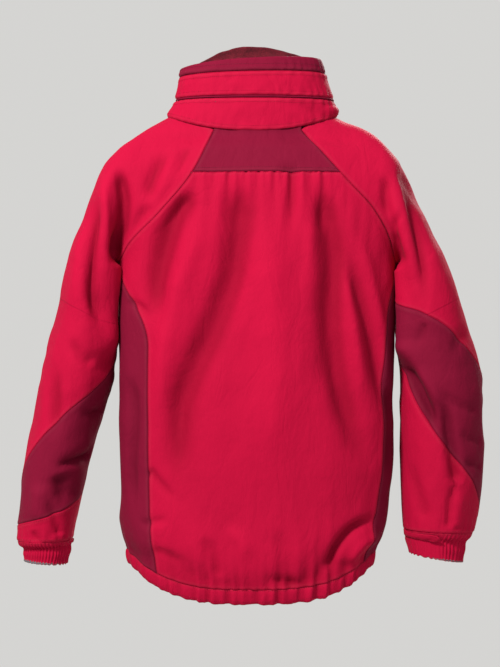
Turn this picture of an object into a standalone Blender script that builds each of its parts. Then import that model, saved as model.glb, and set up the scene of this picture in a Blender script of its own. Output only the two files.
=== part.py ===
"""Foul weather jacket on its hanging shape: shell panels, collar, zips, flaps, pockets and toggles.

Metres, +Z up. The jacket faces -Y, the wearer's left is +X, and the origin is the point inside
the base of the collar where a hanger carries it.
"""
import math

import bmesh
import bpy
import numpy as np
from mathutils import Matrix, Vector

# Cloth and seams
SHELL = 0.0020            # thickness of a shell panel
SEAM = 0.0016             # gap left between two panels that are sewn together
CLEAR = 0.0004            # gap between hard pieces

# The straight front closure: its depth follows the height along one line
ZIP_Y = -0.082            # depth of the closure at z = 0
ZIP_SLOPE = 0.045         # how far it leans forward for each metre down
ZIP_TOP = 0.082
ZIP_BOTTOM = -0.690
TAPE_HALF = 0.0165        # half-width of the closed zip with its tapes

# Torso sections: height, wearer's left edge, right edge, depth of the back
TORSO = [
    (-0.780, 0.190, -0.180, 0.096),
    (-0.700, 0.2090, -0.190, 0.100),
    (-0.530, 0.2240, -0.2205, 0.104),
    (-0.350, 0.2245, -0.2205, 0.100),
    (-0.232, 0.2250, -0.2215, 0.093),
    (-0.150, 0.2370, -0.2330, 0.086),
    (-0.100, 0.2340, -0.2300, 0.078),
    (-0.050, 0.2150, -0.2100, 0.062),
    (0.000, 0.1900, -0.1860, 0.044),
]
TORSO_SQUARE = 2.4        # exponent of the section: 2 is an ellipse
UNDERARM = -0.232
CURVED_BELOW = -0.362     # the side panels' seams curve from here up to the underarm
HEM_BACK = -0.770
HEM_SIDE = -0.712
HEM_BAND = 0.024
SIDE_PANEL = {"left": (-40.0, 43.0), "right": (152.0, 235.0)}

# Raglan seams: height and distance from the centre, down the back and down the front
RAGLAN_BACK = {
    "left": [(-0.230, 0.2230), (-0.200, 0.205), (-0.152, 0.157), (-0.088, 0.104), (-0.018, 0.070)],
    "right": [(-0.230, 0.2195), (-0.192, 0.209), (-0.144, 0.182), (-0.104, 0.145), (-0.018, 0.069)],
}
RAGLAN_FRONT = [(-0.230, 0.2200), (-0.205, 0.203), (-0.150, 0.158), (-0.095, 0.114), (-0.031, 0.074)]
YOKE_BOTTOM = -0.083
NECK_BACK = -0.018
NECK_FRONT = -0.031

# Collar levels: height at the back, at the sides and in front, then centre and half sizes
COLLAR = [
    (-0.0165, 0.008, -0.036, 0.0095, 0.1345, -0.0190, 0.0640),
    (0.037, 0.037, 0.030, 0.0050, 0.1265, -0.0200, 0.0605),
    (0.080, 0.079, 0.073, 0.0090, 0.1170, -0.0205, 0.0580),
    (0.097, 0.093, 0.086, 0.0110, 0.1130, -0.0210, 0.0568),
]
COLLAR_SQUARE = 2.3

# Sleeve stations: outer edge (x, z), inner edge (x, z), half-depth; x is away from the centre
SLEEVE = {
    "left": [
        (0.189, -0.022, 0.2320, -0.230, 0.060),
        (0.246, -0.070, 0.2320, -0.237, 0.066),
        (0.270, -0.128, 0.2310, -0.258, 0.071),
        (0.301, -0.216, 0.2310, -0.304, 0.075),
        (0.323, -0.304, 0.2310, -0.366, 0.076),
        (0.344, -0.387, 0.2370, -0.424, 0.076),
        (0.365, -0.496, 0.2610, -0.512, 0.072),
        (0.381, -0.592, 0.2830, -0.600, 0.067),
        (0.386, -0.674, 0.2980, -0.671, 0.058),
        (0.376, -0.688, 0.3020, -0.684, 0.047),
        (0.376, -0.707, 0.3060, -0.711, 0.046),
    ],
    "right": [
        (0.182, -0.022, 0.2290, -0.230, 0.060),
        (0.230, -0.070, 0.2290, -0.238, 0.066),
        (0.252, -0.118, 0.2290, -0.252, 0.070),
        (0.285, -0.192, 0.2290, -0.290, 0.074),
        (0.316, -0.270, 0.2285, -0.330, 0.076),
        (0.342, -0.345, 0.2285, -0.375, 0.076),
        (0.361, -0.432, 0.2285, -0.445, 0.073),
        (0.363, -0.530, 0.2300, -0.530, 0.068),
        (0.357, -0.605, 0.2320, -0.610, 0.062),
        (0.346, -0.660, 0.2360, -0.656, 0.056),
        (0.333, -0.680, 0.2380, -0.668, 0.046),
        (0.330, -0.709, 0.2430, -0.694, 0.045),
    ],
}
SIGN = {"left": 1.0, "right": -1.0}
SHOULDER_CUT = {"left": 3.35, "right": 3.25}    # station where the swinging sleeve begins
ELBOW = {"left": -0.378, "right": -0.368}       # height of the elbow's fold
ELBOW_BACK = 0.005                              # the fold's axis sits a little behind the middle
ELBOW_BEND = 40.0
CUFF_STATION = {"left": 9.0, "right": 10.0}

# Contrast panel at the elbow: height of its upper and lower edge at the inner side, at the
# middle of the back and at the outer side
ELBOW_UPPER = {"left": (-0.384, -0.470, -0.584), "right": (-0.285, -0.318, -0.414)}
ELBOW_LOWER = {"left": (-0.600, -0.632, -0.650), "right": (-0.374, -0.520, -0.629)}

RED = (0.62, 0.020, 0.070, 1.0)
MAROON = (0.22, 0.020, 0.055, 1.0)
FLEECE = (0.14, 0.008, 0.022, 1.0)
LINING = (0.10, 0.100, 0.110, 1.0)
BLACK = (0.02, 0.020, 0.022, 1.0)
METAL = (0.38, 0.370, 0.360, 1.0)


def clear_scene():
    for item in list(bpy.data.objects):
        bpy.data.objects.remove(item, do_unlink=True)


def collection(name):
    made = bpy.data.collections.new(name)
    bpy.context.scene.collection.children.link(made)
    return made


clear_scene()
JACKET = collection("foul_weather_jacket")
CUTTERS = collection("cutters")


def material(name, colour, roughness=0.75, metallic=0.0):
    made = bpy.data.materials.new(name)
    made.use_nodes = True
    shader = made.node_tree.nodes["Principled BSDF"]
    shader.inputs["Base Color"].default_value = colour
    shader.inputs["Roughness"].default_value = roughness
    shader.inputs["Metallic"].default_value = metallic
    made.diffuse_color = colour
    return made


def add_object(name, mesh, colour, roughness=0.75, metallic=0.0, where=None):
    """Puts a mesh into the scene as one named sub-part with its own material."""
    made = bpy.data.objects.new(name, mesh)
    mesh.materials.append(material(name, colour, roughness, metallic))
    (where or JACKET).objects.link(made)
    return made


def set_origin(item, point):
    """Moves an object's origin to a point, such as its joint's axis, and leaves its shape."""
    point = Vector(point)
    item.data.transform(Matrix.Translation(item.matrix_basis.translation - point))
    item.location = point


def interpolate(rows, at, column):
    """Value in a column of a table whose first column rises."""
    return float(np.interp(at, [row[0] for row in rows], [row[column] for row in rows]))


def power(value, exponent):
    return math.copysign(abs(value) ** exponent, value)


def zip_depth(z):
    return ZIP_Y + ZIP_SLOPE * z


def torso_point(angle, z, inset=0.0):
    """Point of the torso's outside: 0 degrees is the wearer's left, 90 the back, 270 the front."""
    left = interpolate(TORSO, z, 1) - inset
    right = interpolate(TORSO, z, 2) + inset
    cosine, sine = math.cos(math.radians(angle)), math.sin(math.radians(angle))
    depth = interpolate(TORSO, z, 3) if sine >= 0 else -zip_depth(z)
    x = (left + right) / 2 + (left - right) / 2 * power(cosine, 2 / TORSO_SQUARE)
    return Vector((x, (depth - inset) * power(sine, 2 / TORSO_SQUARE), z))


def torso_angle(x, z, front=False):
    """Angle at which the torso's outside has the given x."""
    left, right = interpolate(TORSO, z, 1), interpolate(TORSO, z, 2)
    share = (x - (left + right) / 2) / ((left - right) / 2)
    share = max(-1.0, min(1.0, share))
    angle = math.degrees(math.acos(power(share, TORSO_SQUARE / 2)))
    return 360.0 - angle if front else angle


def raglan_x(side, z, front):
    rows = RAGLAN_FRONT if front else RAGLAN_BACK[side]
    return SIGN[side] * interpolate(rows, z, 1)


def hem_height(angle):
    """Height of the hem, which drops at the back."""
    sine = math.sin(math.radians(angle))
    if sine <= 0:
        return HEM_SIDE + 0.012 * abs(sine)
    share = abs(math.cos(math.radians(angle))) ** (2 / TORSO_SQUARE)
    return HEM_BACK + (HEM_SIDE - HEM_BACK) * share ** 3.4


def blend_height(back, side, front, angle):
    """Goes smoothly from the height at the back to the sides and to the front."""
    sine = math.sin(math.radians(angle))
    end = back if sine >= 0 else front
    return side + (end - side) * sine * sine


def collar_point(angle, level, inset=0.0, lift=0.0):
    """Point of the collar's outside at a level between 0, its seam, and 3, its top edge."""
    low = min(int(level), len(COLLAR) - 2)
    share = level - low
    row = [a + (b - a) * share for a, b in zip(COLLAR[low], COLLAR[low + 1])]
    back, side, front, x, half_width, y, half_depth = row
    cosine, sine = math.cos(math.radians(angle)), math.sin(math.radians(angle))
    return Vector((
        x + (half_width - inset) * power(cosine, 2 / COLLAR_SQUARE),
        y + (half_depth - inset) * power(sine, 2 / COLLAR_SQUARE),
        blend_height(back, side, front, angle) + lift,
    ))


def collar_edge_angle(side, level, half_gap, inset=0.0):
    """Angle at which the collar ends beside the front closure."""
    low = 180.0 if side == "right" else 270.0
    target = SIGN[side] * half_gap
    high = low + 90.0
    for _ in range(40):
        middle = (low + high) / 2
        if collar_point(middle, level, inset).x < target:
            low = middle
        else:
            high = middle
    return (low + high) / 2


def raglan_loop(side, turn):
    """Point of the seam where a sleeve meets the body; 0 is the neck, 180 the underarm."""
    front = turn > 180.0
    turn = 360.0 - turn if front else turn
    top = NECK_FRONT if front else NECK_BACK
    if turn < 30.0:
        share = turn / 30.0
        corner = 66.0 if side == "left" else 57.0
        away = corner * share
        angle = away if side == "left" else 180.0 - away
        point = collar_point(360.0 - angle if front else angle, 0.0)
        end = torso_point(torso_angle(raglan_x(side, top, front), top, front), top)
        point.z -= 0.0045
        return point.lerp(end, share ** 4)
    share = (turn - 30.0) / 150.0
    z = top + (-0.230 - top) * share
    x = raglan_x(side, z, front)
    return torso_point(torso_angle(x, z, front), z)


def sleeve_point(side, turn, station, inset=0.0):
    """Point of a sleeve's outside; turn 0 is the outer edge, 90 the back, 180 the inner edge."""
    rows = SLEEVE[side]
    sign = SIGN[side]
    cosine, sine = math.cos(math.radians(turn)), math.sin(math.radians(turn))

    def ring(row):
        outer, inner = Vector((row[0], 0.0, row[1])), Vector((row[2], 0.0, row[3]))
        half = (outer - inner) / 2
        half *= 1.0 - inset / half.length
        point = (outer + inner) / 2 + half * cosine
        point.y = (row[4] - inset) * sine
        point.x *= sign
        return point

    if station < 1.0:
        seam = raglan_loop(side, turn) + Vector((sign * 0.0027, 0.0, -0.0025))
        seam.x += sign * 0.004 * max(0.0, -cosine) ** 4
        return seam.lerp(ring(rows[0]), station)
    low = min(int(station) - 1, len(rows) - 2)
    return ring(rows[low]).lerp(ring(rows[low + 1]), station - 1 - low)


def station_at(side, turn, z):
    """Station at which the sleeve has the given height."""
    low, high = 1.0, float(len(SLEEVE[side]))
    for _ in range(40):
        middle = (low + high) / 2
        if sleeve_point(side, turn, middle).z > z:
            low = middle
        else:
            high = middle
    return (low + high) / 2


def skin(name, place, across, along, colour, thickness=SHELL, closed=False, roughness=0.75):
    """A grid primitive bent onto place(u, v), both 0 to 1, and given thickness inwards."""
    mesh = bpy.data.meshes.new(name)
    body = bmesh.new()
    bmesh.ops.create_grid(body, x_segments=across, y_segments=along, size=1.0)
    for vertex in body.verts:
        vertex.co = place((vertex.co.x + 1) / 2, (vertex.co.y + 1) / 2)
    if closed:
        bmesh.ops.remove_doubles(body, verts=body.verts, dist=0.00005)
    middle = sum((vertex.co for vertex in body.verts), Vector()) / len(body.verts)
    outward = 0.0
    body.normal_update()
    for face in body.faces:
        away = face.calc_center_median() - middle
        outward += face.normal.dot(Vector((away.x, away.y, 0.0))) * face.calc_area()
    if outward < 0:
        bmesh.ops.reverse_faces(body, faces=body.faces)
    body.to_mesh(mesh)
    body.free()
    made = add_object(name, mesh, colour, roughness)
    solid = made.modifiers.new("thickness", "SOLIDIFY")
    solid.thickness = thickness
    solid.offset = -1.0
    for polygon in mesh.polygons:
        polygon.use_smooth = True
    return made


def torso_rows(low, top):
    """Heights of a torso panel's rows; those near the underarm are the same on every panel."""
    rows = [low + (CURVED_BELOW - low) * step / 5 for step in range(5)]
    shared = [CURVED_BELOW + (UNDERARM - 0.003 - CURVED_BELOW) * step / 4 for step in range(5)]
    above = [-0.200, -0.165, -0.130, -0.095, -0.060]
    return rows + shared + [z for z in above if z < top - 0.012] + ([top] if top > UNDERARM else [])


def torso_panel(name, angles, low, top, across, colour, thickness=SHELL):
    """Panel between angles(z) = (first, last), from the height low(angle) up to top(angle)."""
    count = len(torso_rows(low(90.0), top(90.0)))

    def place(u, v):
        row = round(v * (count - 1))
        z = -0.4
        for _ in range(8):
            first, last = angles(z)
            angle = first + (last - first) * u
            z = torso_rows(low(angle), top(angle))[row]
        first, last = angles(z)
        return torso_point(first + (last - first) * u, z)
    return skin(name, place, across, count - 1, colour, thickness)


def seam_degrees(z, gap=SEAM / 2):
    """The angle that half a seam's gap takes on the torso."""
    return math.degrees(gap / 0.17)


def above_hem(angle):
    return hem_height(angle) + HEM_BAND + 1.5 * SEAM


def seam_angle(side, front, z):
    """Angle of the seam beside a side panel, or of the raglan seam above the underarm."""
    open_x = raglan_x(side, max(z, -0.230), front)
    open_angle = torso_angle(open_x, z, front)
    if z >= UNDERARM:
        return open_angle
    first, last = SIDE_PANEL[side]
    limits = {("left", True): first + 360.0, ("left", False): last,
              ("right", True): last, ("right", False): first}
    ease = math.sin(min(1.0, (UNDERARM - z) / 0.13) * math.pi / 2)
    return open_angle + (limits[side, front] - open_angle) * ease


def build_torso():
    half = seam_degrees(0.0)

    def back_angles(z):
        return seam_angle("left", False, z) + half, seam_angle("right", False, z) - half

    def yoke_place(u, v):
        z = YOKE_BOTTOM + SEAM / 2
        first, last = back_angles(z)
        rise = NECK_BACK - 0.0012 - z + 0.003 * (2 * u - 1) ** 2
        z += rise * v
        first, last = back_angles(z)
        return torso_point(first + (last - first) * u, z)

    torso_panel("back_panel", back_angles, above_hem, lambda a: YOKE_BOTTOM - SEAM / 2, 14, RED)
    skin("back_yoke", yoke_place, 8, 2, MAROON)

    def front_angles(side):
        def angles(z):
            edge = torso_angle(SIGN[side] * TAPE_HALF, z, True)
            return edge, seam_angle(side, True, z) - SIGN[side] * half
        return angles

    def front_top(angle):
        x = torso_point(angle, NECK_FRONT).x
        return NECK_FRONT - 0.008 + 0.0065 * min(1.0, abs(x) / 0.074) ** 2

    def side_angles(side):
        turn = 360.0 if side == "left" else 0.0
        return lambda z: (seam_angle(side, True, z) - turn + SIGN[side] * half,
                          seam_angle(side, False, z) - SIGN[side] * half)

    for side in ("left", "right"):
        torso_panel(f"{side}_front_panel", front_angles(side), above_hem, front_top, 8, RED)
        torso_panel(f"{side}_side_panel", side_angles(side), above_hem, lambda a: UNDERARM - 0.003,
                    6, MAROON)


def build_hem():
    first = torso_angle(TAPE_HALF, -0.71, True) - 360.0
    last = torso_angle(-TAPE_HALF, -0.71, True)

    def place(u, v):
        angle = first + (last - first) * u
        return torso_point(angle, hem_height(angle) + HEM_BAND * v)
    skin("hem_casing", place, 40, 1, RED, thickness=0.0035)


def build_lining():
    first = torso_angle(0.034, -0.5, True) - 360.0
    last = torso_angle(-0.034, -0.5, True)

    def place(u, v):
        angle = first + (last - first) * u
        low = above_hem(angle) + 0.012
        return torso_point(angle, low + (-0.240 - low) * v, inset=0.0090)
    skin("body_lining", place, 28, 4, LINING, thickness=0.0010)


def build_collar():
    gap = TAPE_HALF

    def band(name, low, high, colour, thickness, inset=0.0, along=1, lift=None, half_gap=gap):
        def place(u, v):
            level = low + (high - low) * v
            first = collar_edge_angle("left", level, half_gap, inset) - 360.0
            last = collar_edge_angle("right", level, half_gap, inset)
            angle = first + (last - first) * u
            return collar_point(angle, level, inset, lift(angle) * v if lift else 0.0)
        return skin(name, place, 28, along, colour, thickness)

    band("collar_lower_band", 0.0, 0.975, RED, 0.0026)
    band("collar_piping", 0.995, 1.05, MAROON, 0.0040)
    band("collar_upper_band", 1.075, 1.985, RED, 0.0026)
    band("collar_top_band", 2.02, 3.0, MAROON, 0.0026)
    band("stowed_hood", 0.30, 1.70, RED, 0.0050, inset=0.0062, along=2, half_gap=0.030)

    def lining_lift(angle):
        rise = max(0.0, math.sin(math.radians(angle))) ** 1.2
        lean = math.exp(-((angle - 84.0) / 48.0) ** 2)
        return 0.020 * rise * lean
    band("collar_lining", 0.10, 2.98, FLEECE, 0.0045, inset=0.0158, along=2, lift=lining_lift)


def elbow_edge(table, side, turn):
    """Height of the contrast panel's edge at a turn between 0 and 180 degrees."""
    inner, middle, outer = table[side]
    return float(np.interp(turn, [0.0, 90.0, 180.0], [outer, middle, inner]))


def notch(side, turn):
    """How far the sleeve is cut back from the fold so that the elbow can close in front."""
    depth = 0.076 * max(0.0, -math.sin(math.radians(turn)))
    return (depth + ELBOW_BACK) * math.tan(math.radians(ELBOW_BEND / 2)) + 0.001


def sleeve_patch(name, side, turns, top, bottom, across, along, colour, **options):
    """Part of a sleeve between two turns and the stations top(turn) and bottom(turn)."""
    first, last = turns

    def place(u, v):
        turn = first + (last - first) * u
        station = top(turn) + (bottom(turn) - top(turn)) * v
        return sleeve_point(side, turn, station, options.get("inset", 0.0))
    closed = last - first == 360.0
    extra = {key: value for key, value in options.items() if key != "inset"}
    return skin(name, place, across, along, colour, closed=closed, **extra)


def build_sleeve(side):
    cut = SHOULDER_CUT[side]
    fold = ELBOW[side]
    cuff = CUFF_STATION[side]
    half = 0.7

    sleeve_patch(f"{side}_shoulder", side, (0.0, 360.0), lambda t: 0.0, lambda t: cut - 0.02,
                 20, 5, RED)

    def gusset_top(turn):
        """Upper edge of the contrast cloth that reaches above the right elbow's fold."""
        ends = fold + 0.007
        upper = [elbow_edge(ELBOW_UPPER, side, at) for at in (72.0, 90.0, 180.0)]
        far = fold + notch(side, 198.0) + 0.007
        return float(np.interp(turn, [54.0, 72.0, 90.0, 180.0, 198.0], [ends, *upper, far]))

    def upper_end(turn):
        z = fold + notch(side, turn)
        if side == "right" and 53.0 < turn < 199.0:
            z = gusset_top(turn) + SEAM
        return station_at(side, turn, z)

    sleeve_patch(f"{side}_upper_sleeve", side, (0.0, 360.0), lambda t: cut + 0.02, upper_end,
                 20, 4, RED)
    if side == "right":
        sleeve_patch("right_elbow_gusset", side, (54.0, 198.0),
                     lambda t: station_at(side, t, gusset_top(t)),
                     lambda t: station_at(side, t, fold + notch(side, t)), 8, 2, MAROON)

    def from_fold(turn):
        return station_at(side, turn, fold - notch(side, turn))

    def edge(table, shift):
        def station(turn):
            height = elbow_edge(table, side, turn) + shift
            return station_at(side, turn, min(height, fold - 0.004 + shift))
        return station

    low = cuff - 0.06
    sleeve_patch(f"{side}_forearm_front", side, (180.0 + half, 360.0 - half), from_fold,
                 lambda t: low, 8, 4, RED)
    last_turn = 180.0 - half if side == "left" else 112.0
    sleeve_patch(f"{side}_forearm_outer", side, (half, last_turn), from_fold,
                 edge(ELBOW_UPPER, SEAM / 2), 6, 2, RED)
    sleeve_patch(f"{side}_elbow_panel", side, (half, 180.0 - half), edge(ELBOW_UPPER, -SEAM / 2),
                 edge(ELBOW_LOWER, SEAM / 2), 8, 3, MAROON)
    sleeve_patch(f"{side}_forearm_back", side, (half, 180.0 - half), edge(ELBOW_LOWER, -SEAM / 2),
                 lambda t: low, 8, 3, RED)
    end = float(len(SLEEVE[side]))
    sleeve_patch(f"{side}_cuff", side, (0.0, 360.0), lambda t: cuff - 0.02, lambda t: end,
                 20, 2, RED, thickness=0.0030)
    pivot = sleeve_point(side, 0.0, cut)
    for name in (f"{side}_upper_sleeve",):
        set_origin(bpy.data.objects[name], pivot)
    elbow = sleeve_point(side, 90.0, station_at(side, 90.0, fold))
    set_origin(bpy.data.objects[f"{side}_elbow_panel"], (elbow.x, ELBOW_BACK, fold))


def finish_body(name, body, matrix, colour, roughness, metallic, where):
    mesh = bpy.data.meshes.new(name)
    body.to_mesh(mesh)
    body.free()
    mesh.transform(matrix)
    return add_object(name, mesh, colour, roughness, metallic, where)


def box(name, size, centre, matrix, colour=BLACK, roughness=0.5, metallic=0.0, round_by=0.0, where=None):
    """A cube primitive of a size, placed in a frame, with its edges rounded."""
    body = bmesh.new()
    bmesh.ops.create_cube(body, size=1.0)
    bmesh.ops.scale(body, vec=size, verts=body.verts)
    bmesh.ops.translate(body, vec=centre, verts=body.verts)
    if round_by:
        bmesh.ops.bevel(body, geom=body.edges[:], offset=round_by, segments=1, affect="EDGES")
    return finish_body(name, body, matrix, colour, roughness, metallic, where)


def rod(name, radius, length, centre, axis, matrix, colour=METAL, roughness=0.35, metallic=0.9,
        sides=14, where=None):
    """A cylinder primitive along one axis of a frame."""
    body = bmesh.new()
    bmesh.ops.create_cone(body, cap_ends=True, segments=sides, radius1=radius, radius2=radius,
                          depth=length)
    turn = {"x": Matrix.Rotation(math.pi / 2, 4, "Y"), "y": Matrix.Rotation(math.pi / 2, 4, "X"),
            "z": Matrix.Identity(4)}[axis]
    bmesh.ops.transform(body, matrix=Matrix.Translation(centre) @ turn, verts=body.verts)
    made = finish_body(name, body, matrix, colour, roughness, metallic, where)
    for polygon in made.data.polygons:
        polygon.use_smooth = len(polygon.vertices) == 4
    return made


def wire(name, points, radius, matrix, closed, colour=METAL, roughness=0.35, metallic=0.9, where=None):
    """A bent wire or cord: a curve with a round bevel, turned into a mesh."""
    curve = bpy.data.curves.new(name, "CURVE")
    curve.dimensions = "3D"
    curve.bevel_depth = radius
    curve.bevel_resolution = 1
    curve.use_fill_caps = not closed
    spline = curve.splines.new("POLY")
    spline.points.add(len(points) - 1)
    for point, at in zip(spline.points, points):
        point.co = (*(matrix @ Vector(at)), 1.0)
    spline.use_cyclic_u = closed
    holder = bpy.data.objects.new(name, curve)
    CUTTERS.objects.link(holder)
    mesh = bpy.data.meshes.new_from_object(holder.evaluated_get(bpy.context.evaluated_depsgraph_get()))
    bpy.data.objects.remove(holder, do_unlink=True)
    mesh.name = name
    body = bmesh.new()
    body.from_mesh(mesh)
    bmesh.ops.remove_doubles(body, verts=body.verts, dist=0.00001)
    body.to_mesh(mesh)
    body.free()
    mesh.materials.clear()
    return add_object(name, mesh, colour, roughness, metallic, where)


def combine(target, tool, operation):
    """Adds an exact Boolean to target and hides the tool among the cutters."""
    step = target.modifiers.new(operation.lower(), "BOOLEAN")
    step.operation = operation
    step.solver = "EXACT"
    step.object = tool
    tool.hide_render = True
    tool.display_type = "WIRE"


def closure_frame(z, out=0.0):
    """Frame on the front closure: local x across, local y into the jacket, local z up the zip."""
    tilt = Matrix.Rotation(-math.atan(ZIP_SLOPE), 4, "X")
    place = Matrix.Translation((0.0, zip_depth(z), z)) @ tilt
    return place @ Matrix.Translation((0.0, -out, 0.0))


def torso_frame(angle, low_z, high_z):
    """Frame at low_z on the torso: local x along the surface, y inwards, z up to high_z."""
    low, high = torso_point(angle, low_z), torso_point(angle, high_z)
    up = (high - low).normalized()
    tangent = torso_point(angle + 3.0, low_z) - torso_point(angle - 3.0, low_z)
    across = (tangent - up * tangent.dot(up)).normalized()
    inward = up.cross(across)
    frame = Matrix((across, inward, up)).transposed().to_4x4()
    frame.translation = low
    return frame


# Zip chain, slider and pull, in the frame of the zip they belong to
BEAD = 0.0030             # thickness of the teeth
BEAD_GAP = 0.0022         # slot between the two rows, in which the slider's bridge runs


def zip_half(name, side, frame, length, tape, colour):
    """Tape with its row of teeth; side is +1 or -1 in the zip's frame."""
    outline = [(BEAD_GAP / 2, -BEAD / 2), (BEAD_GAP / 2 + 0.0032, -BEAD / 2),
               (BEAD_GAP / 2 + 0.0032, -0.0005), (tape, -0.0005), (tape, 0.0005),
               (BEAD_GAP / 2 + 0.0032, 0.0005), (BEAD_GAP / 2 + 0.0032, BEAD / 2),
               (BEAD_GAP / 2, BEAD / 2)]
    body = bmesh.new()
    corners = [body.verts.new((side * x, y, 0.0)) for x, y in outline]
    face = body.faces.new(corners)
    grown = bmesh.ops.extrude_face_region(body, geom=[face])
    lifted = [item for item in grown["geom"] if isinstance(item, bmesh.types.BMVert)]
    bmesh.ops.translate(body, vec=(0.0, 0.0, length), verts=lifted)
    bmesh.ops.recalc_face_normals(body, faces=body.faces)
    return finish_body(name, body, frame, colour, 0.6, 0.0, None)


SLIDER = (0.0115, 0.0160)     # width and height of a slider's front plate
BAIL_OUT = 0.0062             # distance of the pull's hinge from the middle of the teeth
BAIL_UP = 0.0020              # height of the pull's hinge above the slider's middle


def zip_slider(name, frame):
    """Front and back plate on a bridge, with a lug for the pull."""
    width, height = SLIDER
    body = box(name, (width, 0.0014, height), (0.0, -0.0028, 0.0), frame, METAL, 0.35, 0.9, 0.0004)
    pieces = [
        box(name + "_back", (width, 0.0012, height - 0.002), (0.0, 0.0027, 0.0), frame, METAL,
            where=CUTTERS),
        box(name + "_bridge", (0.0012, 0.0056, 0.0050), (0.0, 0.0, 0.0045), frame, METAL,
            where=CUTTERS),
        box(name + "_lug", (0.0030, 0.0052, 0.0066), (0.0, -0.0054, BAIL_UP), frame, METAL,
            where=CUTTERS),
    ]
    for piece in pieces:
        combine(body, piece, "UNION")
    hole = rod(name + "_eye", 0.00115, 0.008, (0.0, -BAIL_OUT, BAIL_UP), "x", frame, where=CUTTERS,
               sides=10)
    combine(body, hole, "DIFFERENCE")
    return body


def zip_pull(name, frame):
    """Bail through the slider's lug with a flat grip below it."""
    half, drop = 0.0040, 0.0090
    bail = wire(name, [(-half, 0, 0), (half, 0, 0), (half, 0, -drop), (-half, 0, -drop)], 0.0007,
                frame, True)
    grip = box(name + "_grip", (0.0090, 0.0018, 0.0260), (0.0, 0.0, -drop - 0.0120), frame, METAL,
               round_by=0.0003, where=CUTTERS)
    combine(bail, grip, "UNION")
    return bail


CLOSURE_TOP = 0.080
SLIDER_HOME = 0.062
FLAP_TOP = 0.022
FLAP_BOTTOM = -0.682
FLAP_OUT = 0.0098             # how far the flap's back stands in front of the teeth
FLAP_HINGE_X = 0.0340
FLAP_EDGE_X = -0.0330
SNAP_HEIGHTS = (-0.004, -0.650)


def build_closure():
    stretch = math.sqrt(1.0 + ZIP_SLOPE ** 2)
    frame = closure_frame(ZIP_BOTTOM)
    length = (CLOSURE_TOP - ZIP_BOTTOM) * stretch
    zip_half("front_zip_left", 1.0, frame, length, TAPE_HALF - 0.0012, BLACK)
    zip_half("front_zip_right", -1.0, frame, length, TAPE_HALF - 0.0012, BLACK)
    box("front_zip_box", (0.0100, 0.0044, 0.0090), (0.0, 0.0, -0.0050), frame, BLACK, round_by=0.0005)

    home = closure_frame(SLIDER_HOME)
    slider = zip_slider("front_zip_slider", home)
    set_origin(slider, home.translation)
    hinge = home @ Matrix.Translation((0.0, -BAIL_OUT, BAIL_UP))
    pull = zip_pull("front_zip_pull", hinge)
    set_origin(pull, hinge.translation)

    flap_frame = closure_frame(FLAP_BOTTOM)
    tall = (FLAP_TOP - FLAP_BOTTOM) * stretch
    base_y = -(0.0012 + FLAP_OUT - 0.0006) / 2
    box("storm_flap_base", (0.0100, FLAP_OUT - 0.0018, tall), (FLAP_HINGE_X, base_y, tall / 2),
        flap_frame, RED, 0.75)
    flap = box("storm_flap", (FLAP_HINGE_X - FLAP_EDGE_X, 0.0026, tall),
               ((FLAP_HINGE_X + FLAP_EDGE_X) / 2, -FLAP_OUT - 0.0013, tall / 2), flap_frame, RED,
               0.75, round_by=0.0006)
    set_origin(flap, flap_frame @ Vector((FLAP_HINGE_X, -FLAP_OUT - 0.0026, 0.0)))
    box("storm_flap_landing", (0.0160, 0.0056, tall - 0.020),
        (FLAP_EDGE_X + 0.0080, -0.0040, (tall - 0.020) / 2), flap_frame, RED, 0.75)
    for index, z in enumerate(SNAP_HEIGHTS, 1):
        snap = closure_frame(z)
        rod(f"snap_cap_{index}", 0.0062, 0.0018, (FLAP_EDGE_X + 0.0085, -FLAP_OUT - 0.0040, 0.0), "y",
            snap)
        rod(f"snap_stud_{index}", 0.0045, 0.0020, (FLAP_EDGE_X + 0.0085, -0.0082, 0.0), "y", snap)


POCKET_X = (0.056, 0.168)
POCKET_Z = (-0.655, -0.490)
POCKET_OUT = 0.0165
POCKET_FLAP = 0.052
POCKET_HINGE = 0.012          # height of the flap's hinge above the pocket's mouth


def front_place(side, x, z, out):
    """Point in front of a front panel: on its surface at x and z, then outwards."""
    angle = torso_angle(SIGN[side] * x, z, True)
    point = torso_point(angle, z)
    tangent = torso_point(angle + 1.0, z) - torso_point(angle - 1.0, z)
    up = torso_point(angle, z + 0.01) - torso_point(angle, z - 0.01)
    return point + tangent.cross(up).normalized() * out


def build_pocket(side):
    low_x, high_x = POCKET_X
    low_z, high_z = POCKET_Z
    across = [0.0, 0.006, 0.030, 0.056, 0.082, 0.106, 0.112]
    along = [0.0, 0.006, 0.060, 0.110, 0.165]

    def pouch(u, v):
        column, row = round(u * (len(across) - 1)), round(v * (len(along) - 1))
        edge = column in (0, len(across) - 1) or row == 0
        return front_place(side, low_x + across[column], low_z + along[row],
                           0.0020 if edge else POCKET_OUT)
    skin(f"{side}_pocket", pouch, len(across) - 1, len(along) - 1, RED, thickness=0.0018)

    hinge_z = high_z + POCKET_HINGE

    def flap(u, v):
        x = low_x - 0.003 + (high_x - low_x + 0.006) * u
        return front_place(side, x, hinge_z - POCKET_FLAP * (1 - v), POCKET_OUT + 0.0048)
    made = skin(f"{side}_pocket_flap", flap, 6, 2, RED, thickness=0.0022)
    ends = [front_place(side, x, hinge_z, POCKET_OUT + 0.0026) for x in (low_x, high_x)]
    set_origin(made, (ends[0] + ends[1]) / 2)

    def base(u, v):
        x = low_x + (high_x - low_x) * u
        return front_place(side, x, hinge_z + 0.0100 + 0.006 * v, 0.0030 + 0.014 * (1 - v))
    skin(f"{side}_pocket_flap_base", base, 6, 1, RED, thickness=0.0018)


SIDE_ZIP_ANGLE = -22.0
SIDE_ZIP_Z = (-0.714, -0.560)
SIDE_ZIP_OUT = 0.0044
SIDE_SLIDER_UP = 0.0085


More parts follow.
